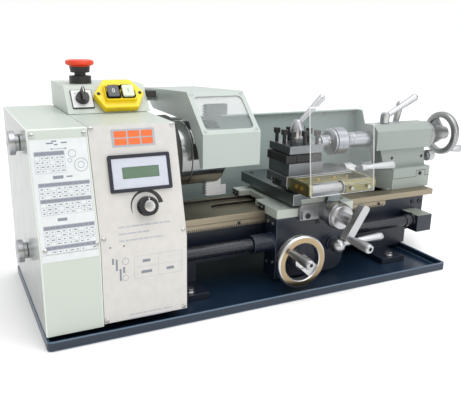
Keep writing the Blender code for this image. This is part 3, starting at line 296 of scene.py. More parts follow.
# ---- shapes -------------------------------------------------------------------------------------
def mesh_object(bm, name="shape"):
    bmesh.ops.remove_doubles(bm, verts=bm.verts, dist=1e-6)
    bmesh.ops.recalc_face_normals(bm, faces=bm.faces)
    mesh = bpy.data.meshes.new(name)
    bm.to_mesh(mesh)
    bm.free()
    obj = bpy.data.objects.new(name, mesh)
    bpy.context.scene.collection.objects.link(obj)
    return obj


def loft(lower, upper):
    """Closed solid between two outlines with the same number of points."""
    bm = bmesh.new()
    rings = [[bm.verts.new(Vector(p) * MM) for p in ring] for ring in (lower, upper)]
    bm.faces.new(rings[0])
    bm.faces.new(list(reversed(rings[1])))
    count = len(lower)
    for i in range(count):
        j = (i + 1) % count
        bm.faces.new((rings[0][i], rings[1][i], rings[1][j], rings[0][j]))
    return mesh_object(bm)


def prism(outline, axis, start, end):
    index = "xyz".index(axis)
    rings = []
    for along in (start, end):
        ring = []
        for point in outline:
            values = list(point)
            values.insert(index, along)
            ring.append(values)
        rings.append(ring)
    return loft(*rings)


def block(x0, x1, y0, y1, z0, z1):
    return prism([(x0, y0), (x1, y0), (x1, y1), (x0, y1)], "z", z0, z1)


def rounded(x0, x1, y0, y1, radius, steps=6):
    points = []
    corners = ((x1 - radius, y0 + radius, -90), (x1 - radius, y1 - radius, 0),
               (x0 + radius, y1 - radius, 90), (x0 + radius, y0 + radius, 180))
    for cx, cy, first in corners:
        for i in range(steps + 1):
            angle = math.radians(first + 90 * i / steps)
            points.append((cx + radius * math.cos(angle), cy + radius * math.sin(angle)))
    return points


def turned(profile, centre, direction, segments=ROUND):
    axis = Vector(direction).normalized()
    turn = Vector((0, 0, 1)).rotation_difference(axis).to_matrix()
    bm = bmesh.new()
    rings = []
    for along, radius in profile:
        middle = Vector(centre) + axis * along
        if radius < 1e-6:
            rings.append([bm.verts.new(middle * MM)])
            continue
        ring = []
        for i in range(segments):
            angle = 2 * math.pi * i / segments
            spoke = turn @ Vector((math.cos(angle), math.sin(angle), 0))
            ring.append(bm.verts.new((middle + spoke * radius) * MM))
        rings.append(ring)
    for k, ring in enumerate(rings):
        other = rings[(k + 1) % len(rings)]
        for i in range(segments):
            j = (i + 1) % segments
            corners = []
            for source, at in ((ring, i), (ring, j), (other, j), (other, i)):
                vert = source[at % len(source)]
                if vert not in corners:
                    corners.append(vert)
            if len(corners) > 2:
                bm.faces.new(corners)
    return mesh_object(bm)


def bar(start, end, radius, segments=40, end_radius=None):
    run = Vector(end) - Vector(start)
    last = radius if end_radius is None else end_radius
    return turned([(0, 0), (0, radius), (run.length, last), (run.length, 0)], start, run, segments)


def ball(centre, radius, segments=40):
    profile = []
    for i in range(segments // 2 + 1):
        angle = math.pi * i / (segments // 2)
        profile.append((-radius * math.cos(angle), max(0.0, radius * math.sin(angle))))
    profile[0] = (-radius, 0)
    profile[-1] = (radius, 0)
    return turned(profile, centre, (0, 0, 1), segments)


def combine(target, others, operation):
    for other in others:
        modifier = target.modifiers.new("combine", "BOOLEAN")
        modifier.operation = operation
        modifier.solver = "EXACT"
        modifier.object = other
        evaluated = target.evaluated_get(bpy.context.evaluated_depsgraph_get())
        mesh = bpy.data.meshes.new_from_object(evaluated)
        target.modifiers.clear()
        target.data = mesh
        bpy.data.objects.remove(other, do_unlink=True)
    return target


def join(first, *others):
    return combine(first, others, "UNION")


def cut(first, *others):
    return combine(first, others, "DIFFERENCE")


def gather(objects):
    """Several separate shapes as one object."""
    first = objects[0]
    bm = bmesh.new()
    for obj in objects:
        mesh = obj.data.copy()
        mesh.transform(obj.matrix_world)
        bm.from_mesh(mesh)
        bpy.data.meshes.remove(mesh)
    bm.to_mesh(first.data)
    bm.free()
    for obj in objects[1:]:
        bpy.data.objects.remove(obj, do_unlink=True)
    return first


def clean_copy(node):
    """A CAD node's shape with its split corners joined and its flat faces made whole."""
    source = frame["nodes"][node].data
    bm = bmesh.new()
    verts = [bm.verts.new(v.co) for v in source.vertices]
    for polygon in source.polygons:
        corners = [verts[i] for i in polygon.vertices]
        bm.faces.new(corners)
    bmesh.ops.remove_doubles(bm, verts=bm.verts, dist=5e-6)
    bmesh.ops.dissolve_limit(bm, angle_limit=math.radians(0.6), verts=bm.verts, edges=bm.edges)
    return mesh_object(bm, node)


def soften(obj, width, segments=2, angle=32, edge_slot=-1):
    """Rounds the sharp edges by a width in millimetres and evens out the shading."""
    obj.data.shade_smooth()
    if width > 0:
        bevel = obj.modifiers.new("edges", "BEVEL")
        bevel.width = width * MM
        bevel.segments = segments
        bevel.limit_method = "ANGLE"
        bevel.angle_limit = math.radians(angle)
        bevel.use_clamp_overlap = True
        bevel.miter_outer = "MITER_ARC"
        bevel.material = edge_slot
    even = obj.modifiers.new("even", "WEIGHTED_NORMAL")
    even.keep_sharp = True
    even.weight = 80
    return obj


def piece(obj, name, body, material, bevel=0.4, edge=None, replaces=(), segments=2, chooser=None,
          sharp=None):
    """Names, paints and softens a shape, and lets it ride on its body."""
    obj.name = name
    obj.data.name = name
    materials = list(material) if isinstance(material, (list, tuple)) else [material]
    # An edge material colours the bevel faces; where it is lighter than the body it paints a highlight along
    # the edges.
    edge_slot = -1
    if edge is not None:
        edge_slot = len(materials)
        materials.append(edge)
    obj.data.materials.clear()
    for entry in materials:
        obj.data.materials.append(M[entry] if isinstance(entry, str) else entry)
    for polygon in obj.data.polygons:
        polygon.material_index = 0
        if chooser is not None:
            polygon.material_index = chooser(polygon.center / MM, polygon.normal)
    soften(obj, bevel, segments, edge_slot=edge_slot)
    if sharp is not None:
        obj.data.set_sharp_from_angle(angle=math.radians(sharp))
    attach(obj, body)
    if replaces:
        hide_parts(*replaces)
    return obj


def dress(node, material, bevel=0.5, edge=None, chooser=None, segments=2, shape=None, sharp=None):
    """A finished piece in place of a CAD node, from the node's own shape unless another is given."""
    obj = shape or clean_copy(node)
    return piece(obj, node + "_body", BODY_OF[node], material, bevel, edge, (node,),
                 segments, chooser,
                 sharp)


def metal_group(shapes, name, body, metal, bevel):
    """Small metal shapes on one body as one piece."""
    return piece(gather(shapes), name, body, metal, bevel)


def print_group(shapes, name, body, ink):
    """Printed marks on one body as one piece."""
    return piece(gather(shapes), name, body, ink, 0)


def frame_at(point, normal, up=(0, 0, 1)):
    """A matrix whose Z is the normal and whose Y is as near to up as it can be, in millimetres."""
    z = Vector(normal).normalized()
    x = Vector(up).cross(z)
    if x.length < 1e-3:
        x = Vector((1, 0, 0))
    x.normalize()
    y = z.cross(x)
    m = Matrix((x, y, z)).transposed().to_4x4()
    m.translation = Vector(point) * MM
    return m


def placed(obj, matrix):
    obj.data.transform(matrix)
    return obj


def pan_head(point, normal, radius=3.0, height=1.6, turn=0.3):
    """A domed screw with a cross recess."""
    dome = [(0, 0), (0, radius), (height * 0.45, radius * 0.97), (height * 0.85, radius * 0.7),
            (height, radius * 0.35),
            (height, 0)]
    head = turned(dome, (0, 0, 0), (0, 0, 1), 28)
    wide, deep = radius * 0.16, radius * 0.62
    cross = join(block(-deep, deep, -wide, wide, height * 0.3, height * 2),
                 block(-wide, wide, -deep, deep, height * 0.3, height * 2))
    cross.data.transform(Matrix.Rotation(turn, 4, "Z"))
    return placed(cut(head, cross), frame_at(point, normal))


def socket_head(point, normal, radius=4.0, height=4.0, across=None, base=0.0):
    """A cylindrical screw with a hexagon socket."""
    across = across or radius * 0.52
    head = turned([(base, 0), (base, radius), (base + height, radius), (base + height, 0)], (0, 0, 0),
                  (0, 0, 1), 32)
    hexagon = [(across * math.cos(math.radians(a)), across * math.sin(math.radians(a))) for a in range(30,
                                                                                                       390,
                                                                                                       60)]
    socket = prism(hexagon, "z", base + height * 0.35, base + height + 5)
    return placed(cut(head, socket), frame_at(point, normal))


def hex_head(point, normal, radius=6.0, height=4.5, washer=8.0):
    outline = [(radius * math.cos(math.radians(a)), radius * math.sin(math.radians(a))) for a in range(0,
                                                                                                       360,
                                                                                                       60)]
    head = prism(outline, "z", 1.4, 1.4 + height)
    ring = turned([(0, 0), (0, washer), (1.5, washer), (1.5, 0)], (0, 0, 0), (0, 0, 1), 32)
    return placed(join(head, ring), frame_at(point, normal))


def flat_strip(points, normal, thickness):
    """A thin printed shape: an outline on a surface, raised along its normal."""
    n = Vector(normal).normalized()
    lower = [Vector(p) + n * 0.02 for p in points]
    upper = [Vector(p) + n * (0.02 + thickness) for p in points]
    return loft(lower, upper)


# ---- base and ways ------------------------------------------------------------------------------
BEND_Y, BEND_Z = -141.6, 121.0
LEAN = Vector((0, 40.6, 140.5)).normalized()
PANEL_OUT = Vector((0, -LEAN.z, LEAN.y))
FRONT = (0, -1, 0)
PRINT, THIN_PRINT = 0.05, 0.04  # how far ink stands off its surface


def on_panel(x, v):
    """A point on the bent front: v is the distance up from the bend, negative below it."""
    if v >= 0:
        return Vector((x, BEND_Y, BEND_Z)) + LEAN * v
    return Vector((x, BEND_Y, BEND_Z + v))


def panel_normal(v):
    return PANEL_OUT if v >= 0 else Vector((0, -1, 0))


def panel_mark(outline, thickness, normal=PANEL_OUT):
    """A printed outline of (x, v) points on the bent front."""
    return flat_strip([on_panel(x, v) for x, v in outline], normal, thickness)


def oblong(x0, x1, v0, v1):
    return [(x0, v0), (x1, v0), (x1, v1), (x0, v1)]


def panel_loft(outline, low, high):
    """An outline of (x, v) points on the leaning panel, between two heights above it."""
    rings = []
    for height in (low, high):
        rings.append([on_panel(x, v) + panel_normal(outline[0][1]) * height for x, v in outline])
    return loft(*rings)


def base_pieces():
    dress("chip_tray", "tray", 1.4, "tray_edge_highlight", segments=3)

    # Ground ways on top, navy paint below; the walls of the slot between the ways are painted black as
    # painted shade in the slot.
    def way_paint_or_slot_shade(centre, normal):
        if centre.z < 98.8:
            return 1
        return 2 if abs(centre.y) < 44 and abs(normal.z) < 0.5 else 0

    dress("bed", ["ways", "navy", "oxide"], 0.6, None, way_paint_or_slot_shade)
    dress("gear_rack", "ways", 0.15)
    # Painted shade: thin black strips on the rack's front face for the shade in the gaps between its teeth.
    gaps = []
    for i in range(125):
        x = -174.0 + math.pi * (i + 0.8)
        if x < 222:
            gaps.append(block(x, x + 1.5, -50.12, -49.9, 89.5, 93.4))
    metal_group(gaps, "rack_gap_shade", "frame", "oxide", 0)
    dress("splash_guard", "splash", 0.4, "green_edge_highlight")
    # Upward faces of the navy bracket take the lighter colour: a painted reflection on its top.
    dress("leadscrew_bracket", ["navy", "bracket"], 1.6, None, lambda c, n: 1 if n.z > 0.7 else 0, 3)
    bolts = []
    for x, y in ((214, -82), (214, 82), (-154, -82), (-154, 82)):
        bolts.append(hex_head((x, y, 12), (0, 0, 1)))
    metal_group(bolts, "foot_bolts", "frame", "bright_y", 0.3)
    small = [socket_head((x, -50.1, 95), (0, -1, 0), 2.6, 1.0) for x in (-150, -60, 30, 120, 210)]
    small += [socket_head((x, -45, z), (0, -1, 0), 4.0, 1.5) for x, z in ((292, 88), (308, 88))]
    metal_group(small, "bed_screws", "frame", "dark_steel", 0.2)
    rivets = []
    for x in (-150, -60, 30, 120, 210, 270):
        rivets.append(pan_head((x, 122.9, 226), (0, -1, 0), 3.0, 1.6))
    metal_group(rivets, "splash_screws", "frame", "bright_y", 0.1)


def drive_pieces():
    dress("headstock_casting", "navy", 0.8, "navy_edge_highlight")
    dress("motor", ["oxide"], 0.8, "dark_steel")
    fins = []
    for x in range(-262, -206, 6):
        fins.append(turned([(x, 27), (x, 30.5), (x + 2, 30.5), (x + 2, 27)], (0, 84, 68), (1, 0, 0), 48))
    metal_group(fins, "motor_fins", "frame", "oxide", 0.2)
    dress("motor_pulley", "alloy", 0.3, sharp=30)
    dress("drive_belt", "rubber", 0.3)
    dress("spindle", "spindle", 0.4, sharp=30)
    dress("spindle_gear", "dark_steel", 0.2, "steel_edge_wear_and_highlight")
    dress("idler_gear", "dark_steel", 0.2, "steel_edge_wear_and_highlight")
    dress("lead_screw", "dark_steel", 0.2, "steel_edge_wear_and_highlight")
    ring = turned([(-186, 17.6), (-186, 57), (-157, 57), (-154, 55.6), (-152.5, 53), (-152.5, 41),
                   (-155, 39.5),
                   (-155, 17.6)], (0, 0, SPINDLE_Z), (1, 0, 0))
    # Dark steel on the bevels: a painted highlight round the black cover's edges.
    dress("spindle_bearing_cover", "oxide", 0.5, "dark_steel", shape=ring)
    heads = []
    for i in range(6):
        angle = math.radians(30 + 60 * i)
        spot = (-152.5, 47 * math.cos(angle), SPINDLE_Z + 47 * math.sin(angle))
        heads.append(socket_head(spot, (1, 0, 0), 3.4, 1.6))
    metal_group(heads, "bearing_cover_screws", "frame", "dark_steel", 0.2)
    tubes = (
        ("leadscrew_cover_left", [(-182.6, 7), (-182.6, 14), (-177.6, 14), (-177.6, 10), (45, 10), (45, 7)]),
        ("leadscrew_cover_right",
         [(72, 7), (72, 9), (251.7, 9), (251.7, 10.5), (263.7, 10.5), (263.7, 13), (267.7, 13), (267.7, 7)]),
    )
    for name, profile in tubes:
        dress(name, "tube", 0.3, shape=turned(profile, LEAD_SCREW, (1, 0, 0)))


# ---- headstock ----------------------------------------------------------------------------------
def table_lines(name, body, x0, x1, v0, v1, rows, columns, header, skip=0):
    """A printed table: rules, a header bar and short dashes standing for its figures."""
    lines, marks, bars = [], [], []
    high, wide = (v0 - v1) / rows, (x1 - x0) / columns
    rule = 0.2

    def strip(xa, xb, va, vb):
        return panel_mark(oblong(xa, xb, va, vb), PRINT, panel_normal(vb))

    def level(x, va, vb):
        """A vertical run, parted where it crosses the bend."""
        if va < 0 < vb:
            return [strip(x - rule, x + rule, va, -0.01), strip(x - rule, x + rule, 0, vb)]
        return [strip(x - rule, x + rule, va, vb)]

    for r in range(rows + 1):
        v = v0 - r * high
        lines.append(strip(x0, x1, v - rule, v + rule))
    for c in range(columns + 1):
        lines += level(x0 + c * wide, v1, v0)
    for r in range(rows):
        middle = v0 - (r + 0.5) * high
        if r in header:
            cell = (x1 - x0 - 0.6) / columns
            for c in range(columns):
                at = x0 + 0.3 + c * cell
                bars.append(strip(at + 0.12, at + cell - 0.12, middle - high * 0.42, middle + high * 0.42))
            continue
        for c in range(columns):
            if (r * 5 + c * 3 + skip) % 7 == 6:
                continue
            centre = x0 + (c + 0.5) * wide
            length = wide * (0.16 + 0.06 * ((r + c * 2) % 3))
            marks.append(strip(centre - length, centre + length, middle - high * 0.13, middle + high * 0.13))
    print_group(lines, name + "_rules", body, "ink_faint")
    print_group(marks, name + "_marks", body, "ink")
    if bars:
        print_group(bars, name + "_bars", body, "ink_bar")


def ring_outline(x, v, inner, outer, start, end, steps=40):
    """A band round a point on the panel, between two angles."""
    points = []
    for i in range(steps + 1):
        angle = math.radians(start + (end - start) * i / steps)
        points.append((x + outer * math.cos(angle), v + outer * math.sin(angle)))
    for i in range(steps + 1):
        angle = math.radians(end + (start - end) * i / steps)
        points.append((x + inner * math.cos(angle), v + inner * math.sin(angle)))
    return points


def sweep_band(x, v, radius, start, end, thin, thick, steps=48):
    """A curved wedge that grows from thin to thick, as quads side by side."""
    bm = bmesh.new()
    normal = panel_normal(v)
    rows = []
    for i in range(steps + 1):
        share = i / steps
        angle = math.radians(start + (end - start) * share)
        half = (thin + (thick - thin) * share) / 2
        row = []
        for r, h in ((radius - half, 0.02), (radius + half, 0.02), (radius + half, 0.09),
                     (radius - half, 0.09)):
            spot = on_panel(x + r * math.cos(angle), v + r * math.sin(angle)) + normal * h
            row.append(bm.verts.new(spot * MM))
        rows.append(row)
    for first, second in zip(rows, rows[1:]):
        for k in range(4):
            bm.faces.new((first[k], first[(k + 1) % 4], second[(k + 1) % 4], second[k]))
    bm.faces.new(rows[0])
    bm.faces.new(list(reversed(rows[-1])))
    return mesh_object(bm)


def front_panel():
    dress("headstock_front_cover", ["panel", "green"], 0.7, None, lambda c,
          n: 1 if n.z > 0.5 or n.y > 0.3 else 0)
    body = "frame"
    outer = rounded(-275.1, -195.6, 63.4, 109.6, 2.2, 4)
    inner = rounded(-271.0, -199.7, 67.6, 105.4, 0.8, 3)
    bezel = cut(panel_loft(outer, 0.05, 3.2), panel_loft(inner, 1.2, 5))
    piece(bezel, "display_bezel", body, "bezel", 0.5)
    face = cut(panel_loft(rounded(-270.8, -199.9, 67.8, 105.2, 0.6, 3), 1.25, 2.1),
               panel_loft(rounded(-258.4, -211.2, 79.8, 94.0, 0.6, 3), 0, 5))
    piece(face, "display_face", body, "display", 0.2)
    piece(panel_loft(rounded(-258.2, -211.4, 80.0, 93.8, 0.4, 3), 1.25, 1.6), "display_glass", body, "lcd",
          0.05)
    plate = panel_loft(rounded(-266.5, -211.5, 119.5, 141.0, 1.0, 3), 0.05, 0.5)
    piece(plate, "name_plate", body, "ink_light", 0.1)
    blocks = []
    for x0, x1 in ((-263.5, -248.0), (-246.0, -231.0), (-229.0, -214.5)):
        for v0, v1 in ((121.6, 129.4), (131.0, 138.8)):
            blocks.append(panel_loft(rounded(x0, x1, v0, v1, 0.8, 3), 0.52, 0.7))
    print_group(blocks, "name_plate_bars", body, "orange")

    piece(sweep_band(*SPEED_KNOB, 19.5, 200, 8, 0.6, 6.0), "speed_scale", body, "ink_black", 0)
    dashes = []

    def dash_row(x0, x1, v, height, pattern):
        x = x0
        i = 0
        while x < x1:
            width = pattern[i % len(pattern)]
            end = min(x + width, x1)
            dashes.append(panel_mark(oblong(x, end, v, v + height), THIN_PRINT, panel_normal(v)))
            x = end + 1.3
            i += 1

    dash_row(-270.5, -203.0, 20.5, 2.0, (8, 5, 11, 4, 9))
    dash_row(-271.0, -232.0, 12.2, 1.8, (9, 12, 6))
    dash_row(-271.5, -214.0, 3.8, 1.8, (7, 4, 10, 5))
    dash_row(-262.0, -204.0, -96.5, 1.6, (7, 9, 5, 11))
    dash_row(-262.0, -207.0, -102.0, 1.6, (10, 5, 8))
    print_group(dashes, "panel_dashes", body, "ink_faint")
    table_lines("range_table", body, -253.5, -190.0, -17.5, -47.0, 2, 2, (), 3)

    strokes = []
    for x, v0, v1 in ((-281.5, -16, -24), (-277, -18, -33), (-272.5, -31, -47), (-268, -29, -37)):
        strokes.append(panel_mark(oblong(x, x + 2.4, v1, v0), THIN_PRINT, FRONT))
    for x, v, r in ((-264.5, -22, 4.4), (-265, -44, 4.0)):
        ring = ring_outline(x, v, r - 0.5, r, 0, 350, 28)
        strokes.append(panel_mark(ring, THIN_PRINT, FRONT))
    for x, v in ((-283.0, -1.5), (-266.0, -1.5)):
        dot = [(x + 1.3 * math.cos(a * 0.5236), v + 1.3 * math.sin(a * 0.5236)) for a in range(12)]
        strokes.append(panel_mark(dot, THIN_PRINT, FRONT))
    print_group(strokes, "lever_diagram", body, "ink")

    heads = []
    for x, v in ((-290.5, 143.2), (-187.0, 143.6), (-289.8, 9.2), (-187.0, 8.2), (-290.8, -97.6),
                 (-187.2, -97.6)):
        heads.append(pan_head(on_panel(x, v), panel_normal(v), 3.0, 1.5, 0.2 + x))
    metal_group(heads, "panel_screws", body, "bright_y", 0.1)

    middle = on_panel(*SPEED_KNOB)
    knurl = []
    for i in range(48):
        angle = 2 * math.pi * i / 48
        radius = 12.0 if i % 2 else 11.3
        knurl.append((radius * math.cos(angle), radius * math.sin(angle)))
    skirt = turned([(0.4, 0), (0.4, 12.4), (2.4, 12.4), (2.4, 0)], (0, 0, 0), (0, 0, 1))
    grip = prism(knurl, "z", 2.2, 13.2)
    top = turned([(12.8, 0), (12.8, 10.6), (14.2, 9.6), (14.2, 0)], (0, 0, 0), (0, 0, 1))
    knob = placed(join(skirt, grip, top), frame_at(middle, PANEL_OUT, LEAN))
    piece(knob, "speed_knob_grip", "speed_knob", "black", 0.25,
          replaces=("speed_knob",))
    cap = turned([(13.9, 0), (13.9, 7.0), (14.8, 6.8), (15.2, 6.0), (15.2, 0)], (0, 0, 0), (0, 0, 1))
    piece(placed(cap, frame_at(middle, PANEL_OUT, LEAN)), "speed_knob_cap", "speed_knob", "bright_y", 0.2)
    pointer = block(-0.6, 0.6, 7.4, 10.4, 13.9, 14.4)
    piece(placed(pointer, frame_at(middle, PANEL_OUT, LEAN)), "speed_knob_pointer", "speed_knob",
          "white_print", 0.1)


def cover_pieces():
    # Faces turned to −X take the darker green: painted shade on the cover's left side.
    dress("gear_cover", ["green", "green_shaded_side"], 1.6, "green_edge_highlight", lambda c, n: 1 if n.x < -0.9 else 0, 3)
    body = "gear_cover"
    upper = [(-363.2, 0.2), (-297.2, 0.2), (-297.2, 134.0), (-363.2, 134.0)]
    lower = [(-363.2, -9.2), (-297.2, -9.2), (-297.2, -0.2), (-363.2, -0.2)]
    for name, outline in (("chart_upper", upper), ("chart_lower", lower)):
        normal = panel_normal(outline[0][1])
        piece(panel_mark(outline, 0.35, normal), name, body, "chart", 0)
    lift = 0.36  # the print lies on the plate, which is 0.35 thick
    before = set(bpy.data.objects)
    table_lines("gear_table_a", body, -359.0, -324.5, 120.0, 94.5, 5, 6, (0,), 1)
    table_lines("gear_table_b", body, -358.0, -298.6, 83.4, 45.8, 8, 9, (0, 4), 2)
    table_lines("gear_table_c", body, -358.0, -298.6, 33.4, 0.6, 7, 9, (0, 5), 4)
    bits = []
    for x0, x1, v0, v1 in ((-340.5, -328.5, 87.4, 91.2), (-340.8, -329.6, 38.0, 41.6)):
        bits.append(panel_mark(oblong(x0, x1, v0, v1), PRINT))
    print_group(bits, "chart_tabs", body, "ink_bar")
    drawn = []
    for x, v, r in ((-306.5, 102.0, 8.0), (-306.5, 102.0, 4.0), (-315.5, 116.0, 4.6), (-319.0, 108.0, 2.6)):
        ring = ring_outline(x, v, r - 0.55, r, 0, 352, 36)
        drawn.append(panel_mark(ring, PRINT))
    for x0, x1, v in ((-344.0, -336.0, 128.4), (-335.0, -331.0, 126.6), (-338.0, -332.0, 130.6),
                      (-327.0, -320.0, 128.6), (-325.0, -318.0, 88.6)):
        drawn.append(panel_mark(oblong(x0, x1, v, v + 1.6), PRINT))
    arrow_v = 122.4
    for x0, x1, half in ((-338.0, -323.0, 0.25), (-339.4, -337.4, 0.8), (-323.6, -321.6, 0.8)):
        drawn.append(panel_mark(oblong(x0, x1, arrow_v - half, arrow_v + half), PRINT))
    print_group(drawn, "chart_drawing", body, "ink")
    for obj in set(bpy.data.objects) - before:
        obj.data.transform(Matrix.Translation(PANEL_OUT * lift * MM))
    heads = []
    for x, v in ((-359.4, 139.0), (-299.0, 139.0), (-358.8, 5.0), (-298.6, 6.0)):
        heads.append(pan_head(on_panel(x, v) + panel_normal(v) * 0.3, panel_normal(v), 2.9, 1.5, x))
    metal_group(heads, "chart_screws", body, "bright_y", 0.1)
    for name, y, z in (("cover_knob_upper", -32.0, 235.0), ("cover_knob_lower", -25.0, 88.5)):
        profile = [(351, 0), (351, 4), (365.4, 4), (365.4, 10.8), (370.4, 10.8), (370.4, 15.3), (377.4, 15.3),
                   (378.8, 14.2), (378.8, 5), (377.6, 4), (377.6, 0)]
        shape = turned(profile, (0, y, z), (-1, 0, 0))
        dress(name, handle_metal(name + "_metal", "X", (0, y, z)), 0.5, shape=shape)


def control_box():
    def collar_or_paint(centre, normal):
        near = math.hypot(centre.x - STOP_BUTTON[0], centre.y - STOP_BUTTON[1]) < 16.2
        return 1 if near and centre.z > STOP_BUTTON[2] + 0.2 else 0

    dress("electrical_box", ["green", "black"], 0.9, None, collar_or_paint)
    body = "frame"
    up = Vector((0, 29.0, 36.5)).normalized()
    out = Vector((0, -up.z, up.y))
    middle = Vector((0, 21.5, 279.75))

    def slope(x, v, h):
        return middle + Vector((x, 0, 0)) + up * v + out * h

    def plate(x, outline, low, high):
        return loft([slope(x + u, v, low) for u, v in outline], [slope(x + u, v, high) for u, v in outline])

    piece(plate(DIRECTION_X, rounded(-15, 15, -15, 15, 1.5, 3), 0.1, 1.6), "rotary_plate_back", body,
          "black", 0.2)
    piece(plate(DIRECTION_X, rounded(-14.0, 14.0, -13.6, 14.0, 1.0, 3), 1.62, 2.2), "rotary_plate", body,
          "white_print", 0.15)
    marks = []
    for angle in (45, 90, 135):
        a = math.radians(angle)
        along, side = Vector((math.cos(a), math.sin(a))), Vector((-math.sin(a), math.cos(a)))
        outline = [along * 10.9 - side * 0.4, along * 13.2 - side * 0.4, along * 13.2 + side * 0.4,
                   along * 10.9 + side * 0.4]
        marks.append(plate(DIRECTION_X, [tuple(p) for p in outline], 2.21, 2.27))
    piece(gather(marks), "rotary_marks", body, "ink_black", 0)
    dress("switch_housing", "yellow", 1.8, segments=4)
    holes = [pan_head(slope(SWITCH_X + u, 1, 12.05), out, 2.6, 0.8, 0.5) for u in (-29.5, 29.5)]
    metal_group(holes, "switch_screws", body, "dark_steel", 0.1)
    dress("off_button", "grey_button", 0.9, segments=3)
    dress("on_button", "pale_button", 0.9, segments=3)
    step = 0.2618
    off_mark = [(2.1 * math.cos(i * step), 3.1 * math.sin(i * step)) for i in range(24)]
    inside = [(0.62 * u, 0.7 * v) for u, v in off_mark]
    ring = cut(plate(OFF_X, off_mark, 21.02, 21.1), plate(OFF_X, inside, 20.5, 22))
    piece(ring, "off_mark", "off_button", "white_print", 0)
    piece(plate(ON_X, [(-0.5, -3), (0.5, -3), (0.5, 3), (-0.5, 3)], 21.02, 21.1), "on_mark", "on_button",
          "ink", 0)
    knob_base = turned([(3.0, 0), (3.0, 9.4), (8.0, 8.8), (8.0, 0)], slope(DIRECTION_X, 0, 0), out)
    grip = loft([slope(DIRECTION_X + u, v, 5) for u, v in rounded(-3.2, 3.2, -10, 10.3, 2.4, 5)],
                [slope(DIRECTION_X + u * 0.72, v, 17) for u, v in rounded(-3.2, 3.2, -10, 10.3, 2.4, 5)])
    piece(join(knob_base, grip), "direction_knob_body", "direction_knob", "black", 0.6,
          replaces=("direction_knob",))
    line = loft([slope(DIRECTION_X + u, v, 17.02) for u, v in ((-0.5, 2), (0.5, 2), (0.5, 9), (-0.5, 9))],
                [slope(DIRECTION_X + u, v, 17.12) for u, v in ((-0.5, 2), (0.5, 2), (0.5, 9), (-0.5, 9))])
    piece(line, "direction_knob_line", "direction_knob", "white_print", 0)

    profile = [(-6, 0), (-6, 8), (15.6, 8), (15.6, 13.4), (24.5, 14.6), (26.6, 19.4), (28, 20), (31, 20),
               (32.6, 18.6), (33.4, 15), (33.8, 8), (33.8, 0)]
    dress("estop_button", ["red", "black"], 0.7, None, lambda c, n: 1 if c.z < 322 else 0, 3,
          turned(profile, STOP_BUTTON, (0, 0, 1)))
    piece(block(-177.7, -166, 15, 34, 280, 290), "limit_switch", body, "black", 0.8)


# ---- chuck --------------------------------------------------------------------------------------
def chuck_pieces():
    axis = (0, 0, SPINDLE_Z)
    plate = turned([(-142.7, 10.3), (-142.7, 38.3), (-152, 38.3), (-152, 47.2), (-151.2, 48), (-136.1, 48),
                    (-135.3, 47.2), (-135.3, 10.3)], axis, (1, 0, 0))
    dress("chuck_backplate", "chuck", 0.3, shape=plate)
    profile = [(-135, 10.3), (-135, 47.2), (-134.2, 48), (-85, 48), (-82, 46.6),
               (-80, 44), (-80, 26), (-81.2, 25), (-81.2, 19), (-80, 18), (-80, 10.3)]
    body = turned(profile, axis, (1, 0, 0))
    slots = [block(-98, -60, -y, y, SPINDLE_Z - z, SPINDLE_Z + z) for y, z in ((6, 60), (60, 6))]
    dress("chuck_body", "chuck", 0.35, "steel_edge_wear_and_highlight", shape=cut(body, *slots))
    for number in (1, 2, 3, 4):
        dress(f"chuck_jaw_{number}", "jaw", 0.45, "steel_edge_wear_and_highlight")
    dress("chuck_guard", "guard_green", 0.5, "green_edge_highlight", segments=3)
    # The window's dark tint is painted shade for the inside of the guard.
    dress("chuck_guard_window", "window", 0.15)
    slope = Vector((0, 59, 52)).normalized()
    normal = Vector((0, -slope.z, slope.y))
    heads = []
    for x in (-126.5, -47.5):
        for along in (5.0, 73.0):
            spot = Vector((x, -76, 238)) + slope * along
            heads.append(pan_head(spot, normal, 2.3, 1.2, x))
    metal_group(heads, "guard_window_screws", "chuck_guard", "bright_y", 0.1)


# ---- carriage -----------------------------------------------------------------------------------
def graduations(axis_point, direction, radius, start, long, short, count, first=0.0, thickness=0.25,
                height=0.06):
    """Engraved lines round a dial, every tenth one longer."""
    axis = Vector(direction).normalized()
    turn = Vector((0, 0, 1)).rotation_difference(axis).to_matrix()
    lines = []
    for i in range(count):
        length = long if i % 10 == 0 else (0.5 * (long + short) if i % 5 == 0 else short)
        angle = first + 2 * math.pi * i / count
        outward = turn @ Vector((math.cos(angle), math.sin(angle), 0))
        side = axis.cross(outward)
        low = Vector(axis_point) + axis * start + outward * (radius - 0.1)
        corners = [low - side * thickness, low + side * thickness, low + side * thickness + axis * length,
                   low - side * thickness + axis * length]
        lines.append(loft(corners, [c + outward * (0.1 + height) for c in corners]))
    return gather(lines)


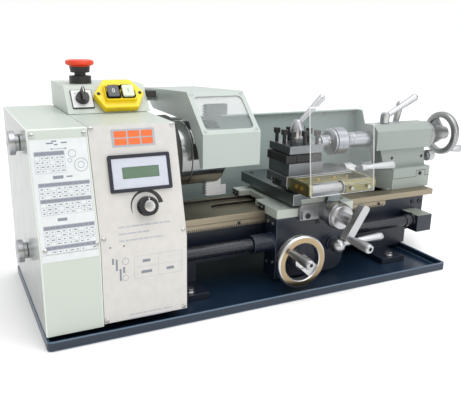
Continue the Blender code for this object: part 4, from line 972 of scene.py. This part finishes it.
def carriage_pieces():
    saddle = clean_copy("saddle")
    spots = ((7, -61), (117, -63), (7, 50), (117, 50))
    holes = [bar((x, y, 112), (x, y, 125), 4.6, 28) for x, y in spots]
    saddle = cut(saddle, *holes)

    def paint_or_steel(centre, normal):
        return 1 if centre.z > 119.3 else 0

    dress("saddle", ["green", "steel_y"], 0.7, None, paint_or_steel, shape=saddle)
    heads = [socket_head((x, y, 112), (0, 0, 1), 4.0, 4.0) for x, y in spots]
    metal_group(heads, "saddle_screws", "carriage", "oxide", 0.25)
    wipers = []
    for x, side in ((-15.2, -1), (126.2, 1)):
        for y0, y1 in ((-50, -30), (42, 58)):
            x0, x1 = sorted((x, x + side * 2.4))
            wipers.append(block(x0, x1, y0, y1, WAY_TOP + 0.35, WAY_TOP + 8))
    piece(gather(wipers), "way_wipers", "carriage", "rubber", 0.4)
    wiper_heads = []
    for x, side in ((-17.6, -1), (128.6, 1)):
        for y in (-44, -35, 46, 54):
            wiper_heads.append(pan_head((x, y, WAY_TOP + 4.8), (side, 0, 0), 1.9, 1.0))
    metal_group(wiper_heads, "wiper_screws", "carriage", "bright_y", 0.1)

    dress("apron", "navy", 1.0, "navy_edge_highlight", segments=3)
    heads = [socket_head((x, -86, z), (0, -1, 0), 3.6, 1.8) for x, z in ((60, 92), (60, 24))]
    metal_group(heads, "apron_screws", "carriage", "dark_steel", 0.2)
    gib = [socket_head((-15, y, z), (-1, 0, 0), 2.6, 1.4) for y,
           z in ((-62, 96), (-76, 96), (-60, 30), (-78, 34))]
    metal_group(gib, "apron_side_screws", "carriage", "bright_y", 0.2)

    dress("crossfeed_bracket", "alloy", 0.9, "steel_edge_wear_and_highlight", segments=3)
    piece(gather([socket_head((33, -97, 108), (0, -1, 0), 4.4, 1.0),
                  socket_head((92, -92, 112), (0, -1, 0), 4.0, 2.6)]),
          "crossfeed_bracket_screws", "carriage", "oxide", 0.25)

    dress("cross_slide", "steel_y", 0.5, "steel_edge_wear_and_highlight")
    gibs = [socket_head((93, y, 133), (1, 0, 0), 3.0, 1.0) for y in (-70, -35, 5, 45)]
    gibs += [socket_head((x, y, 142), (0, 0, 1), 3.6, 0.6) for x, y in ((20, 60), (82, 60), (82, 20))]
    metal_group(gibs, "cross_slide_screws", "cross_slide", "oxide", 0.2)

    axis = CROSSFEED
    metal = lathe_turned("crossfeed_metal", srgb(182, 183, 186), 0.34, "Y", axis, 1300.0, 0.96)
    dial = turned([(-136, 0), (-136, 13.5), (-135, 17.5), (-133, 19.4), (-129.5, 20.4), (-128.7, 19.8),
                   (-127.9, 20.5),
                   (-116, 20.9), (-113, 20.4), (-112.3, 19.6), (-112.3, 5), (-95, 5), (-95, 0)], axis,
                  (0, 1, 0))
    neck = bar((70, -135, 112), (70, -157.5, 112), 8.6, 48)
    handle_bar = prism(rounded(-6.4, 6.4, -29.4, 29.4, 4.2, 8), "y", -169.4, -156.5)
    lean, reach = math.radians(32), 24
    handle_bar.data.transform(Matrix.Translation(Vector(axis) * MM) @ Matrix.Rotation(lean, 4, "Y"))
    side = Vector((-math.cos(lean), 0, math.sin(lean)))
    middle = Vector((70, -163, 112))
    drill = bar(middle + side * 10, middle + side * 3.5, 1.7, 24)
    dress("crossfeed_crank", metal, 0.7, "steel_edge_wear_and_highlight", segments=3,
          shape=cut(join(dial, neck, handle_bar), drill))
    piece(graduations(axis, (0, -1, 0), 20.85, 113.4, 5.5, 3.0, 80, thickness=0.14), "crossfeed_graduations",
          "crossfeed_crank", "ink", 0)
    dot = turned([(0, 0), (0, 2.0), (0.9, 1.8), (0.9, 0)], (70, -124, 132.7), (0, 0, 1), 24)
    piece(dot, "crossfeed_dial_screw", "crossfeed_crank", "oxide", 0.1)
    x, z = axis[0] - reach * math.sin(lean), axis[2] - reach * math.cos(lean)
    grip("crossfeed_handle", (x, -169.8, z), (0, -1, 0),
         [(0, 0), (0, 4.3), (1.2, 4.5), (5, 5.2), (24, 6.7), (41, 7.1), (44.6, 6.3), (46, 4.9)])

    apron_wheel()
    lever_pieces()


def grip(node, root, direction, profile):
    """A turned handle with a hexagon socket in its end."""
    outline = profile + [(profile[-1][0], 0)]
    length = profile[-1][0]
    handle = turned(outline, (0, 0, 0), (0, 0, 1))
    radius = min(3.4, profile[-1][1] * 0.62)
    hexagon = [(radius * math.cos(math.radians(a)), radius * math.sin(math.radians(a))) for a in range(0,
                                                                                                       360,
                                                                                                       60)]
    handle = cut(handle, prism(hexagon, "z", length - 4, length + 5))
    placed(handle, frame_at(root, direction, (0, 0, 1) if abs(direction[2]) < 0.9 else (1, 0, 0)))
    letter = "XYZ"[max(range(3), key=lambda i: abs(direction[i]))]
    dress(node, handle_metal(node + "_metal", letter, root), 0.25, shape=handle)
    pin = turned([(length - 3.8, 0), (length - 3.8, radius * 0.5), (length - 1.6, radius * 0.42),
                  (length - 1.6, 0)],
                 (0, 0, 0), (0, 0, 1), 24)
    placed(pin, frame_at(root, direction))
    piece(pin, node + "_pin", BODY_OF[node], "dark_steel", 0.2)


def wheel_shape(centre, direction, outer, inner, half, hub, spoke_angle, spoke_half, align):
    """A handwheel with a square-shouldered rim, a hub and one broad web."""
    rim_profile = [(-half, inner + 1.2), (-half, outer - 3.2), (-half + 1.2, outer - 1.2),
                   (-half + 3.4, outer),
                   (half - 3.4, outer), (half - 1.0, outer - 1.0), (half, outer - 2.6), (half, inner + 1.2),
                   (half - 1.2, inner), (-half + 1.2, inner)]
    rim = turned(rim_profile, centre, direction)
    body = turned(hub, centre, direction)
    web = prism([(-9, 0), (9, 0), (10.5, inner + 2.5), (-10.5, inner + 2.5)], "y", -spoke_half, spoke_half)
    web.data.transform(Matrix.Translation(Vector(centre) * MM) @ align @ Matrix.Rotation(spoke_angle, 4, "Y"))
    return join(rim, body, web)


def apron_wheel():
    hub = [(-6.5, 0), (-6.5, 9), (-5, 11), (6, 13), (16.3, 14), (16.3, 6), (23, 6), (23, 0)]
    shape = wheel_shape(APRON_WHEEL, (0, 1, 0), 41, 29, 6.4, hub, math.radians(130), 3.0, Matrix.Identity(4))
    bore = bar((5, -140, 50), (5, -128, 50), 4.2, 32)
    # The rim's front face beyond the spokes takes the tan: a painted warm reflection.
    dress("apron_handwheel", ["wheel", "wheel_rim_warm_reflection"], 0.6, None,
          lambda c, n: 1 if n.y < -0.9 and math.hypot(c.x - APRON_WHEEL[0],
                                                      c.z - APRON_WHEEL[2]) > 29 else 0, 3, cut(shape, bore))
    bolt = socket_head((5, -128.2, 50), (0, -1, 0), 3.9, 2.6)
    piece(bolt, "apron_wheel_bolt", "apron_handwheel", "dark_steel", 0.2)
    grip("apron_handle", (-19.3, -132.3, 70.2), (0, -1, 0),
         [(0, 0), (0, 4.2), (1.4, 4.4), (8, 4.7), (18, 5.1), (32, 6.8), (46, 7.5), (52, 7.3), (55, 6.2),
          (56, 4.8)])


def lever_pieces():
    x, z = 88.0, 54.0
    hub = turned([(0, 0), (0, 8), (2, 8.4), (6, 8), (8, 7), (8, 0)], (x, -92.3, z), (0, -1, 0))
    knob = ball((x, -104, z), 11.6, 56)
    arm = bar((x + 4, -102, z), (x + 38, -99, z + 1), 4.4, 36)
    handle = turned([(0, 0), (0, 4.6), (2, 5.0), (20, 6.2), (50, 7.2), (56, 6.6), (58, 5.0), (58, 0)],
                    (x + 34, -99, z + 1), (1, 0, 0.02))
    dress("half_nut_lever", handle_metal("half_nut_metal", "X", (x, -99, z)), 0.3,
          shape=join(hub, knob, arm, handle))


def compound_pieces():
    dress("compound_base", ["steel_x", "oxide"], 0.5, None, lambda c, n: 1 if c.x < 20 and c.z > 150 else 0)
    dress("compound_slide", "block", 0.5, "steel_edge_wear_and_highlight")
    piece(block(12, 117, -87.6, -85.3, 154.5, 167), "guard_bracket_plate", "compound_slide", "zinc", 0.4,
          "steel_edge_wear_and_highlight")
    heads = [pan_head((x, -87.6, 160.5), (0, -1, 0), 2.8, 1.3, x) for x in (24, 54, 84, 108)]
    metal_group(heads, "guard_plate_screws", "compound_slide", "brass", 0.1)
    clamp = join(block(8, 26, -84.5, -77.3, 147.2, 152.8), bar((17, -83, 150), (17, -92, 150), 3.6, 24))
    piece(clamp, "compound_clamp", "compound_base", "oxide", 0.4)
    scale = []
    for i in range(-6, 7):
        angle = math.radians(-90 + i * 5)
        outward, side = Vector((math.cos(angle), math.sin(angle), 0)), Vector((-math.sin(angle),
                                                                               math.cos(angle), 0))
        low = Vector((48, -55, 143)) + outward * 29.0
        tall = 3.6 if i % 3 == 0 else 2.2
        corners = [low - side * 0.2, low + side * 0.2, low + side * 0.2 + Vector((0, 0, tall)),
                   low - side * 0.2 + Vector((0, 0, tall))]
        scale.append(loft(corners, [c + outward * 0.08 for c in corners]))
    piece(gather(scale), "swivel_scale", "compound_base", "ink_black", 0)

    axis = COMPOUND_AXIS
    metal = lathe_turned("compound_metal", srgb(176, 178, 180), 0.34, "X", axis, 1300.0, 0.96)
    dial = turned([(124.3, 0), (124.3, 11.6), (125.2, 12), (139.6, 12), (140.6, 11), (141, 8.4), (148, 8.4),
                   (148, 0)],
                  axis, (1, 0, 0))
    tilt, reach = math.radians(19), 17
    arm = prism(rounded(-22.9, 7, -5.8, 5.8, 5.2, 8), "x", 147.2, 155.8)
    arm.data.transform(Matrix.Translation(Vector(axis) * MM) @ Matrix.Rotation(-tilt, 4, "X"))
    dress("compound_crank", metal, 0.5, "steel_edge_wear_and_highlight", segments=3, shape=join(dial, arm))
    piece(graduations(axis, (1, 0, 0), 11.98, 125.2, 4.6, 2.6, 50, thickness=0.16), "compound_graduations",
          "compound_crank", "ink_black", 0)
    grip("compound_handle", (156.3, axis[1] - reach * math.cos(tilt), axis[2] + reach * math.sin(tilt)),
         (1, 0, 0),
         [(0, 0), (0, 3.8), (1.2, 4.1), (4, 4.3), (30, 6.1), (55, 7.3), (57, 6.7), (58, 5.4)])


def toolpost_pieces():
    slot_low, slot_high = 188.0, 202.0

    # Faces in the tool slot take the dark steel: partly black coating, partly painted shade.
    def slot_dark(centre, normal):
        return 1 if slot_low - 0.4 < centre.z < slot_high + 0.4 else 0

    dress("toolpost", ["block", "block_dark"], 0.45, None, slot_dark)
    bolts = []
    spots = [(x, y) for x in (-22, 0, 22) for y in (-22, 0, 22) if (x, y) != (0, 0)]
    for dx, dy in spots:
        x, y = POST_X + dx, POST_Y + dy
        shank = bar((x, y, 201), (x, y, 227.5), 2.8, 28)
        head = prism(rounded(x - 4, x + 4, y - 4, y + 4, 0.8, 2), "z", 226.5, 234.5)
        bolts.append(join(shank, head))
    metal_group(bolts, "toolpost_bolts", "toolpost", "oxide", 0.3)
    bars = [block(-1.6, 16, -83.6, -27, 188.3, 200.6), block(16.6, 61, -83.6, -69, 188.3, 200.6)]
    metal_group(bars, "tool_bars", "toolpost", "oxide", 0.5)
    base = 220.3
    hub = turned([(base, 0), (base, 10.6), (base + 1.2, 11.4), (base + 13, 11.0), (base + 19, 9.2),
                  (base + 27, 5.4),
                  (base + 28, 4.2), (base + 28, 0)], (POST_X, POST_Y, 0), (0, 0, 1))
    lever = bar((POST_X, POST_Y, base + 20), (74, POST_Y, base + 59), 3.6, 40, 5.6)
    tip = ball((74, POST_Y, base + 59), 5.7, 40)
    dress("toolpost_handle", handle_metal("toolpost_metal", "Z", (POST_X, POST_Y, 0)), 0.4,
          shape=join(hub, lever, tip))

    dress("tool_guard_bracket", ["zinc", "alloy"], 0.6, None, lambda c, n: 1 if 11.5 < c.x < 117.5 else 0, 3)
    screws = [socket_head((5, y, 159), (-1, 0, 0), 3.4, 1.4) for y in (-104, -118)]
    screws += [socket_head((124, y, 161), (1, 0, 0), 3.4, 1.4) for y in (-70, -40, -100)]
    metal_group(screws, "guard_arm_screws", "compound_slide", "brass", 0.2)
    rod = turned([(11.1, 6.55), (11.1, 7.0), (63.2, 7.0), (63.2, 6.55)], GUARD_ROD, (1, 0, 0))
    piece(rod, "guard_rod_bush", "compound_slide", "alloy", 0.2)
    screen_pieces()


def screen_pieces():
    """The clear pane, with bright cut edges, and the metal sleeve that holds it."""
    path = [(-144, 152), (-144, 156), (-129, 276), (-109, 298)]
    back = []
    thick = 2.5
    points = [Vector(p) for p in path]
    for i, point in enumerate(points):
        before = (point - points[i - 1]).normalized() if i else None
        after = (points[i + 1] - point).normalized() if i + 1 < len(points) else None
        before = before or after
        after = after or before
        normal = (Vector((before.y, -before.x)) + Vector((after.y, -after.x))).normalized()
        back.append(point + normal * thick / max(0.3, normal.dot(Vector((before.y, -before.x)))))
    outline = path + [tuple(p) for p in reversed(back)]
    pane = prism(outline, "x", 4, 116)

    def face_or_edge(centre, normal):
        return 1 if abs(normal.x) > 0.8 or centre.z > 297 or centre.z < 153 else 0

    bend = [bar((4.2, -127.6, 276.2), (115.8, -127.6, 276.2), 0.5, 12)]
    piece(pane, "tool_guard_pane", "tool_guard", ["screen", "screen_edge"], 0.25, "screen_edge",
          ("tool_guard_screen",), 2, face_or_edge)
    piece(gather(bend), "tool_guard_bend", "tool_guard", "screen_edge", 0)
    sleeve = turned([(64, 6.9), (64, 9.2), (64.8, 10), (116.7, 10), (117.5, 9.2), (117.5, 6.9)], GUARD_ROD,
                    (1, 0, 0))
    saddle = block(66, 112, -143.0, -138.4, 153.6, 164.4)
    piece(join(sleeve, saddle), "guard_sleeve", "tool_guard", "zinc", 0.5, "steel_edge_wear_and_highlight",
          segments=3)
    heads = [pan_head((x, -146.6, 159), (0, -1, 0), 2.8, 1.2) for x in (74, 104)]
    metal_group(heads, "guard_sleeve_screws", "tool_guard", "bright_y", 0.1)


# ---- tailstock ----------------------------------------------------------------------------------
LOCK_TIP = (313.0, 267.0)  # x and z of the quill lock's ball
NOTCH = (309.0, 330.0, 141.0)  # x from, x to and top of the step in the base's seam
BASE_FACE, WEB_FACE = -29, -15
WEB_SCREWS = ((261, 164), (330, 163))


def tailstock_pieces():
    axis = (0, 0, SPINDLE_Z)
    dress("tailstock_body", "green_tail", 1.2, "green_tail_edge_highlight", segments=3)
    dress("tailstock_base", "green_tail", 0.6, "green_tail_edge_highlight", segments=3)
    small = [socket_head((x, WEB_FACE, z), FRONT, 2.6, 0.6) for x, z in WEB_SCREWS]
    small.append(socket_head((NOTCH[0] + 8.5, BASE_FACE, NOTCH[2] - 6), FRONT, 3.4, 1.0))
    metal_group(small, "tailstock_screws", "tailstock", "oxide", 0.2)
    x0, x1, top = NOTCH
    runs = ((256.5, x0, 128.8, 129.5), (x0 - 0.35, x0 + 0.35, 128.8, top), (x0, x1, top - 0.9, top),
            (x1 - 0.35, x1 + 0.35, 130, top), (x1, 339, 129.6, 130.3))
    seams = [block(left, right, -29.15, -28.4, low, high) for left, right, low, high in runs]
    metal_group(seams, "tailstock_seam", "tailstock", "oxide", 0)
    knob = turned([(340.3, 0), (340.3, 6), (342, 6), (342, 10), (353.5, 10), (355, 8.8), (355, 0)],
                  (0, -15, 163), (1, 0, 0))
    piece(knob, "tailstock_set_screw", "tailstock", handle_metal("set_screw_metal", "X", (0, -15, 163)), 0.5)
    tube = turned([(177, 8.5), (177, 12.4), (178, 13.2), (329.7, 13.2), (329.7, 5), (215, 5), (205, 6),
                   (180, 6.4)],
                  axis, (1, 0, 0))
    dress("quill", "spindle", 0.4, "steel_edge_wear_and_highlight", shape=tube)
    marks = []
    for i in range(14):
        x = 184 + i * 2.2
        half = 4.2 if i % 5 == 0 else 2.6
        row = []
        for k in range(7):
            angle = math.radians(-118) + (k - 3) * half / 3 / 13.2
            row.append((x, 13.22 * math.cos(angle), SPINDLE_Z - 13.22 * math.sin(angle)))
        lower = row + [(x + 0.35, y, z) for _, y, z in reversed(row)]
        upper = [(a, b * 1.004, SPINDLE_Z + (c - SPINDLE_Z) * 1.004) for a, b, c in lower]
        marks.append(loft(lower, upper))
    piece(gather(marks), "quill_graduations", "quill", "ink_black", 0)

    centre = turned([(100.2, 0.4), (113, 7.6), (113, 11), (126, 11), (126.6, 10.3), (128, 10.3),
                     (128.6, 11), (131, 11),
                     (131, 18), (134, 22.5), (159, 22.5), (165, 17.4), (166, 13.2), (176.6, 13.2),
                     (176.6, 5.6),
                     (200, 5.2), (200, 0), (100.2, 0)], axis, (1, 0, 0))
    dress("live_centre", "spindle", 0.4, "steel_edge_wear_and_highlight", shape=centre)
    # Painted shade: a black ring for the shaded groove between the body and the turning nose.
    seam = turned([(137.2, 21.5), (137.2, 22.62), (139.2, 22.62), (139.2, 21.5)], axis, (1, 0, 0))
    piece(seam, "live_centre_seam_shade", "live_centre", "oxide", 0.1)

    hub = [(-49.4, 0), (-49.4, 23.4), (-48.4, 24), (-39, 24), (-38, 23.2), (-37, 20), (-14, 17), (-6, 13),
           (7.4, 12),
           (8, 11.2), (8, 5), (12, 5), (12, 0)]
    align = Matrix.Rotation(math.radians(-90), 4, "Z")
    shape = wheel_shape((388, 0, SPINDLE_Z), (1, 0, 0), 39.6, 29, 6.2, hub, math.radians(-45), 3.0, align)
    dress("tail_handwheel", "tail_wheel", 0.6, "steel_edge_wear_and_highlight", segments=3, shape=shape)
    piece(graduations((338.6, 0, SPINDLE_Z), (1, 0, 0), 24.0, 1.2, 5.6, 3.2, 60, thickness=0.2),
          "tail_graduations",
          "tail_handwheel", "ink_black", 0)
    grip("tail_handle", (394.9, -22, 172), (1, 0, 0),
         [(0, 0), (0, 4), (1, 4.2), (5, 5.2), (13, 6.5), (20, 6.9), (24, 6.4), (26, 4.8)])

    base = SPINDLE_Z + 24.9
    post = turned([(SPINDLE_Z + 13.5, 0), (SPINDLE_Z + 13.5, 4), (base, 4), (base, 7.4), (base + 1, 8),
                   (base + 15, 8),
                   (base + 18.6, 6), (base + 19, 4), (base + 19, 0)], (250, 0, 0), (0, 0, 1))
    lever = bar((252, 0, base + 12), (LOCK_TIP[0], 0, LOCK_TIP[1]), 4.2, 44, 6.4)
    tip = ball((LOCK_TIP[0], 0, LOCK_TIP[1]), 6.5, 44)
    dress("quill_lock_lever", handle_metal("lock_lever_metal", "Z", (250, 0, 0)), 0.4,
          shape=join(post, lever, tip))
    boss = turned([(18.3, 0), (18.3, 8.6), (19, 9), (45, 9), (46, 8), (46, 0)], (300, 0, 168), (0, 1, 0))
    arm = bar((300, 40, 168), (318, 40, 250), 4.2, 44, 6.6)
    end = ball((318, 40, 250), 7.2, 44)
    dress("tailstock_clamp_lever", handle_metal("clamp_lever_metal", "Y", (300, 0, 168)), 0.4,
          shape=join(boss, arm, end))


# ---- room ---------------------------------------------------------------------------------------
def smooth_ramp(tree, value, low, high, start, end):
    ramp = tree.nodes.new("ShaderNodeMapRange")
    ramp.interpolation_type = "SMOOTHSTEP"
    for key, number in (("From Min", low), ("From Max", high), ("To Min", start), ("To Max", end)):
        ramp.inputs[key].default_value = number
    tree.links.new(value, ramp.inputs["Value"])
    return ramp.outputs["Result"]


def larger(tree, first, second):
    node = tree.nodes.new("ShaderNodeMath")
    node.operation = "MAXIMUM"
    tree.links.new(first, node.inputs[0])
    tree.links.new(second, node.inputs[1])
    return node.outputs[0]


def stage_pieces():
    """A pale floor, and a studio that is bright behind, above and along the horizon."""
    floor = bmesh.new()
    size = 9.0
    steps = 8
    grid = [[floor.verts.new(((i / steps - 0.5) * 2 * size, (j / steps - 0.5) * 2 * size, -0.0004))
             for i in range(steps + 1)] for j in range(steps + 1)]
    for j in range(steps):
        for i in range(steps):
            floor.faces.new((grid[j][i], grid[j][i + 1], grid[j + 1][i + 1], grid[j + 1][i]))
    obj = mesh_object(floor, "studio_floor")
    f = Finish("studio_floor_white", 0.85)
    cloud = f.spread(f.noise(f.place, 3.0, 2.0), 0.0, 1.0)
    f.wire("Base Color", f.blend(cloud, (0.955, 0.955, 0.955, 1), (0.97, 0.97, 0.97, 1)))
    obj.data.materials.append(f.material)

    world = bpy.data.worlds.new("studio")
    bpy.context.scene.world = world
    world.use_nodes = True
    tree = world.node_tree
    background = tree.nodes["Background"]
    place = tree.nodes.new("ShaderNodeTexCoord")
    parts = tree.nodes.new("ShaderNodeSeparateXYZ")
    tree.links.new(place.outputs["Generated"], parts.inputs[0])
    toward_back = smooth_ramp(tree, parts.outputs["Y"], -0.1, 0.35, 0.0, 1.0)
    overhead = smooth_ramp(tree, parts.outputs["Z"], 0.1, 0.75, 0.0, 1.0)
    horizon = smooth_ramp(tree, parts.outputs["Z"], 0.12, 0.26, 1.0, 0.0)
    level = larger(tree, larger(tree, toward_back, overhead), horizon)
    strength = tree.nodes.new("ShaderNodeMapRange")
    strength.inputs["To Min"].default_value = 0.16
    strength.inputs["To Max"].default_value = 1.0
    tree.links.new(level, strength.inputs["Value"])
    background.inputs["Color"].default_value = (1.0, 1.0, 1.0, 1)
    tree.links.new(strength.outputs["Result"], background.inputs["Strength"])


def soft_light(name, place, aim, size, power, colour=(1, 1, 1), tall=None):
    light = bpy.data.lights.new(name, "AREA")
    light.shape = "RECTANGLE"
    light.size = size
    light.size_y = tall or size
    light.energy = power
    light.color = colour
    obj = bpy.data.objects.new(name, light)
    bpy.context.scene.collection.objects.link(obj)
    obj.location = place
    obj.rotation_mode = "QUATERNION"
    obj.rotation_quaternion = (Vector(aim) - Vector(place)).to_track_quat("-Z", "Y")
    return obj


def lights():
    sun = bpy.data.lights.new("sky_sun", "SUN")
    sun.energy = 1.0
    sun.angle = math.radians(70)
    lamp = bpy.data.objects.new("sky_sun", sun)
    bpy.context.scene.collection.objects.link(lamp)
    lamp.rotation_euler = (math.radians(18), math.radians(8), 0)
    soft_light("overhead", (0.25, -0.35, 1.7), (0, 0, 0.1), 1.6, 7, (1, 1, 1), 1.0)
    soft_light("front_right", (1.0, -1.5, 0.8), (0, 0, 0.12), 0.9, 6, (1.0, 0.99, 0.97))
    soft_light("warm_low", (-0.25, -1.3, 0.16), (-0.05, 0, 0.14), 1.1, 1.2, (1.0, 0.78, 0.5), 0.25)


def camera():
    azimuth, elevation, roll = -0.46580912, 0.29171757, 0.01998612
    back = Vector((math.sin(azimuth) * math.cos(elevation), -math.cos(azimuth) * math.cos(elevation),
                   math.sin(elevation)))
    right = Vector((math.cos(azimuth), math.sin(azimuth), 0))
    up = back.cross(right)
    across = right * math.cos(roll) + up * math.sin(roll)
    above = up * math.cos(roll) - right * math.sin(roll)
    data = bpy.data.cameras.new("camera")
    data.sensor_width = 36.0
    data.lens = 45.79
    obj = bpy.data.objects.new("camera", data)
    bpy.context.scene.collection.objects.link(obj)
    matrix = Matrix((across, above, back)).transposed().to_4x4()
    matrix.translation = Vector((-0.4527743, -0.8016854, 0.3737784))
    obj.matrix_world = matrix
    bpy.context.scene.camera = obj


base_pieces()
drive_pieces()
front_panel()
cover_pieces()
control_box()
chuck_pieces()
carriage_pieces()
compound_pieces()
toolpost_pieces()
tailstock_pieces()
stage_pieces()
lights()
camera()
bpy.context.scene.view_settings.view_transform = "Standard"
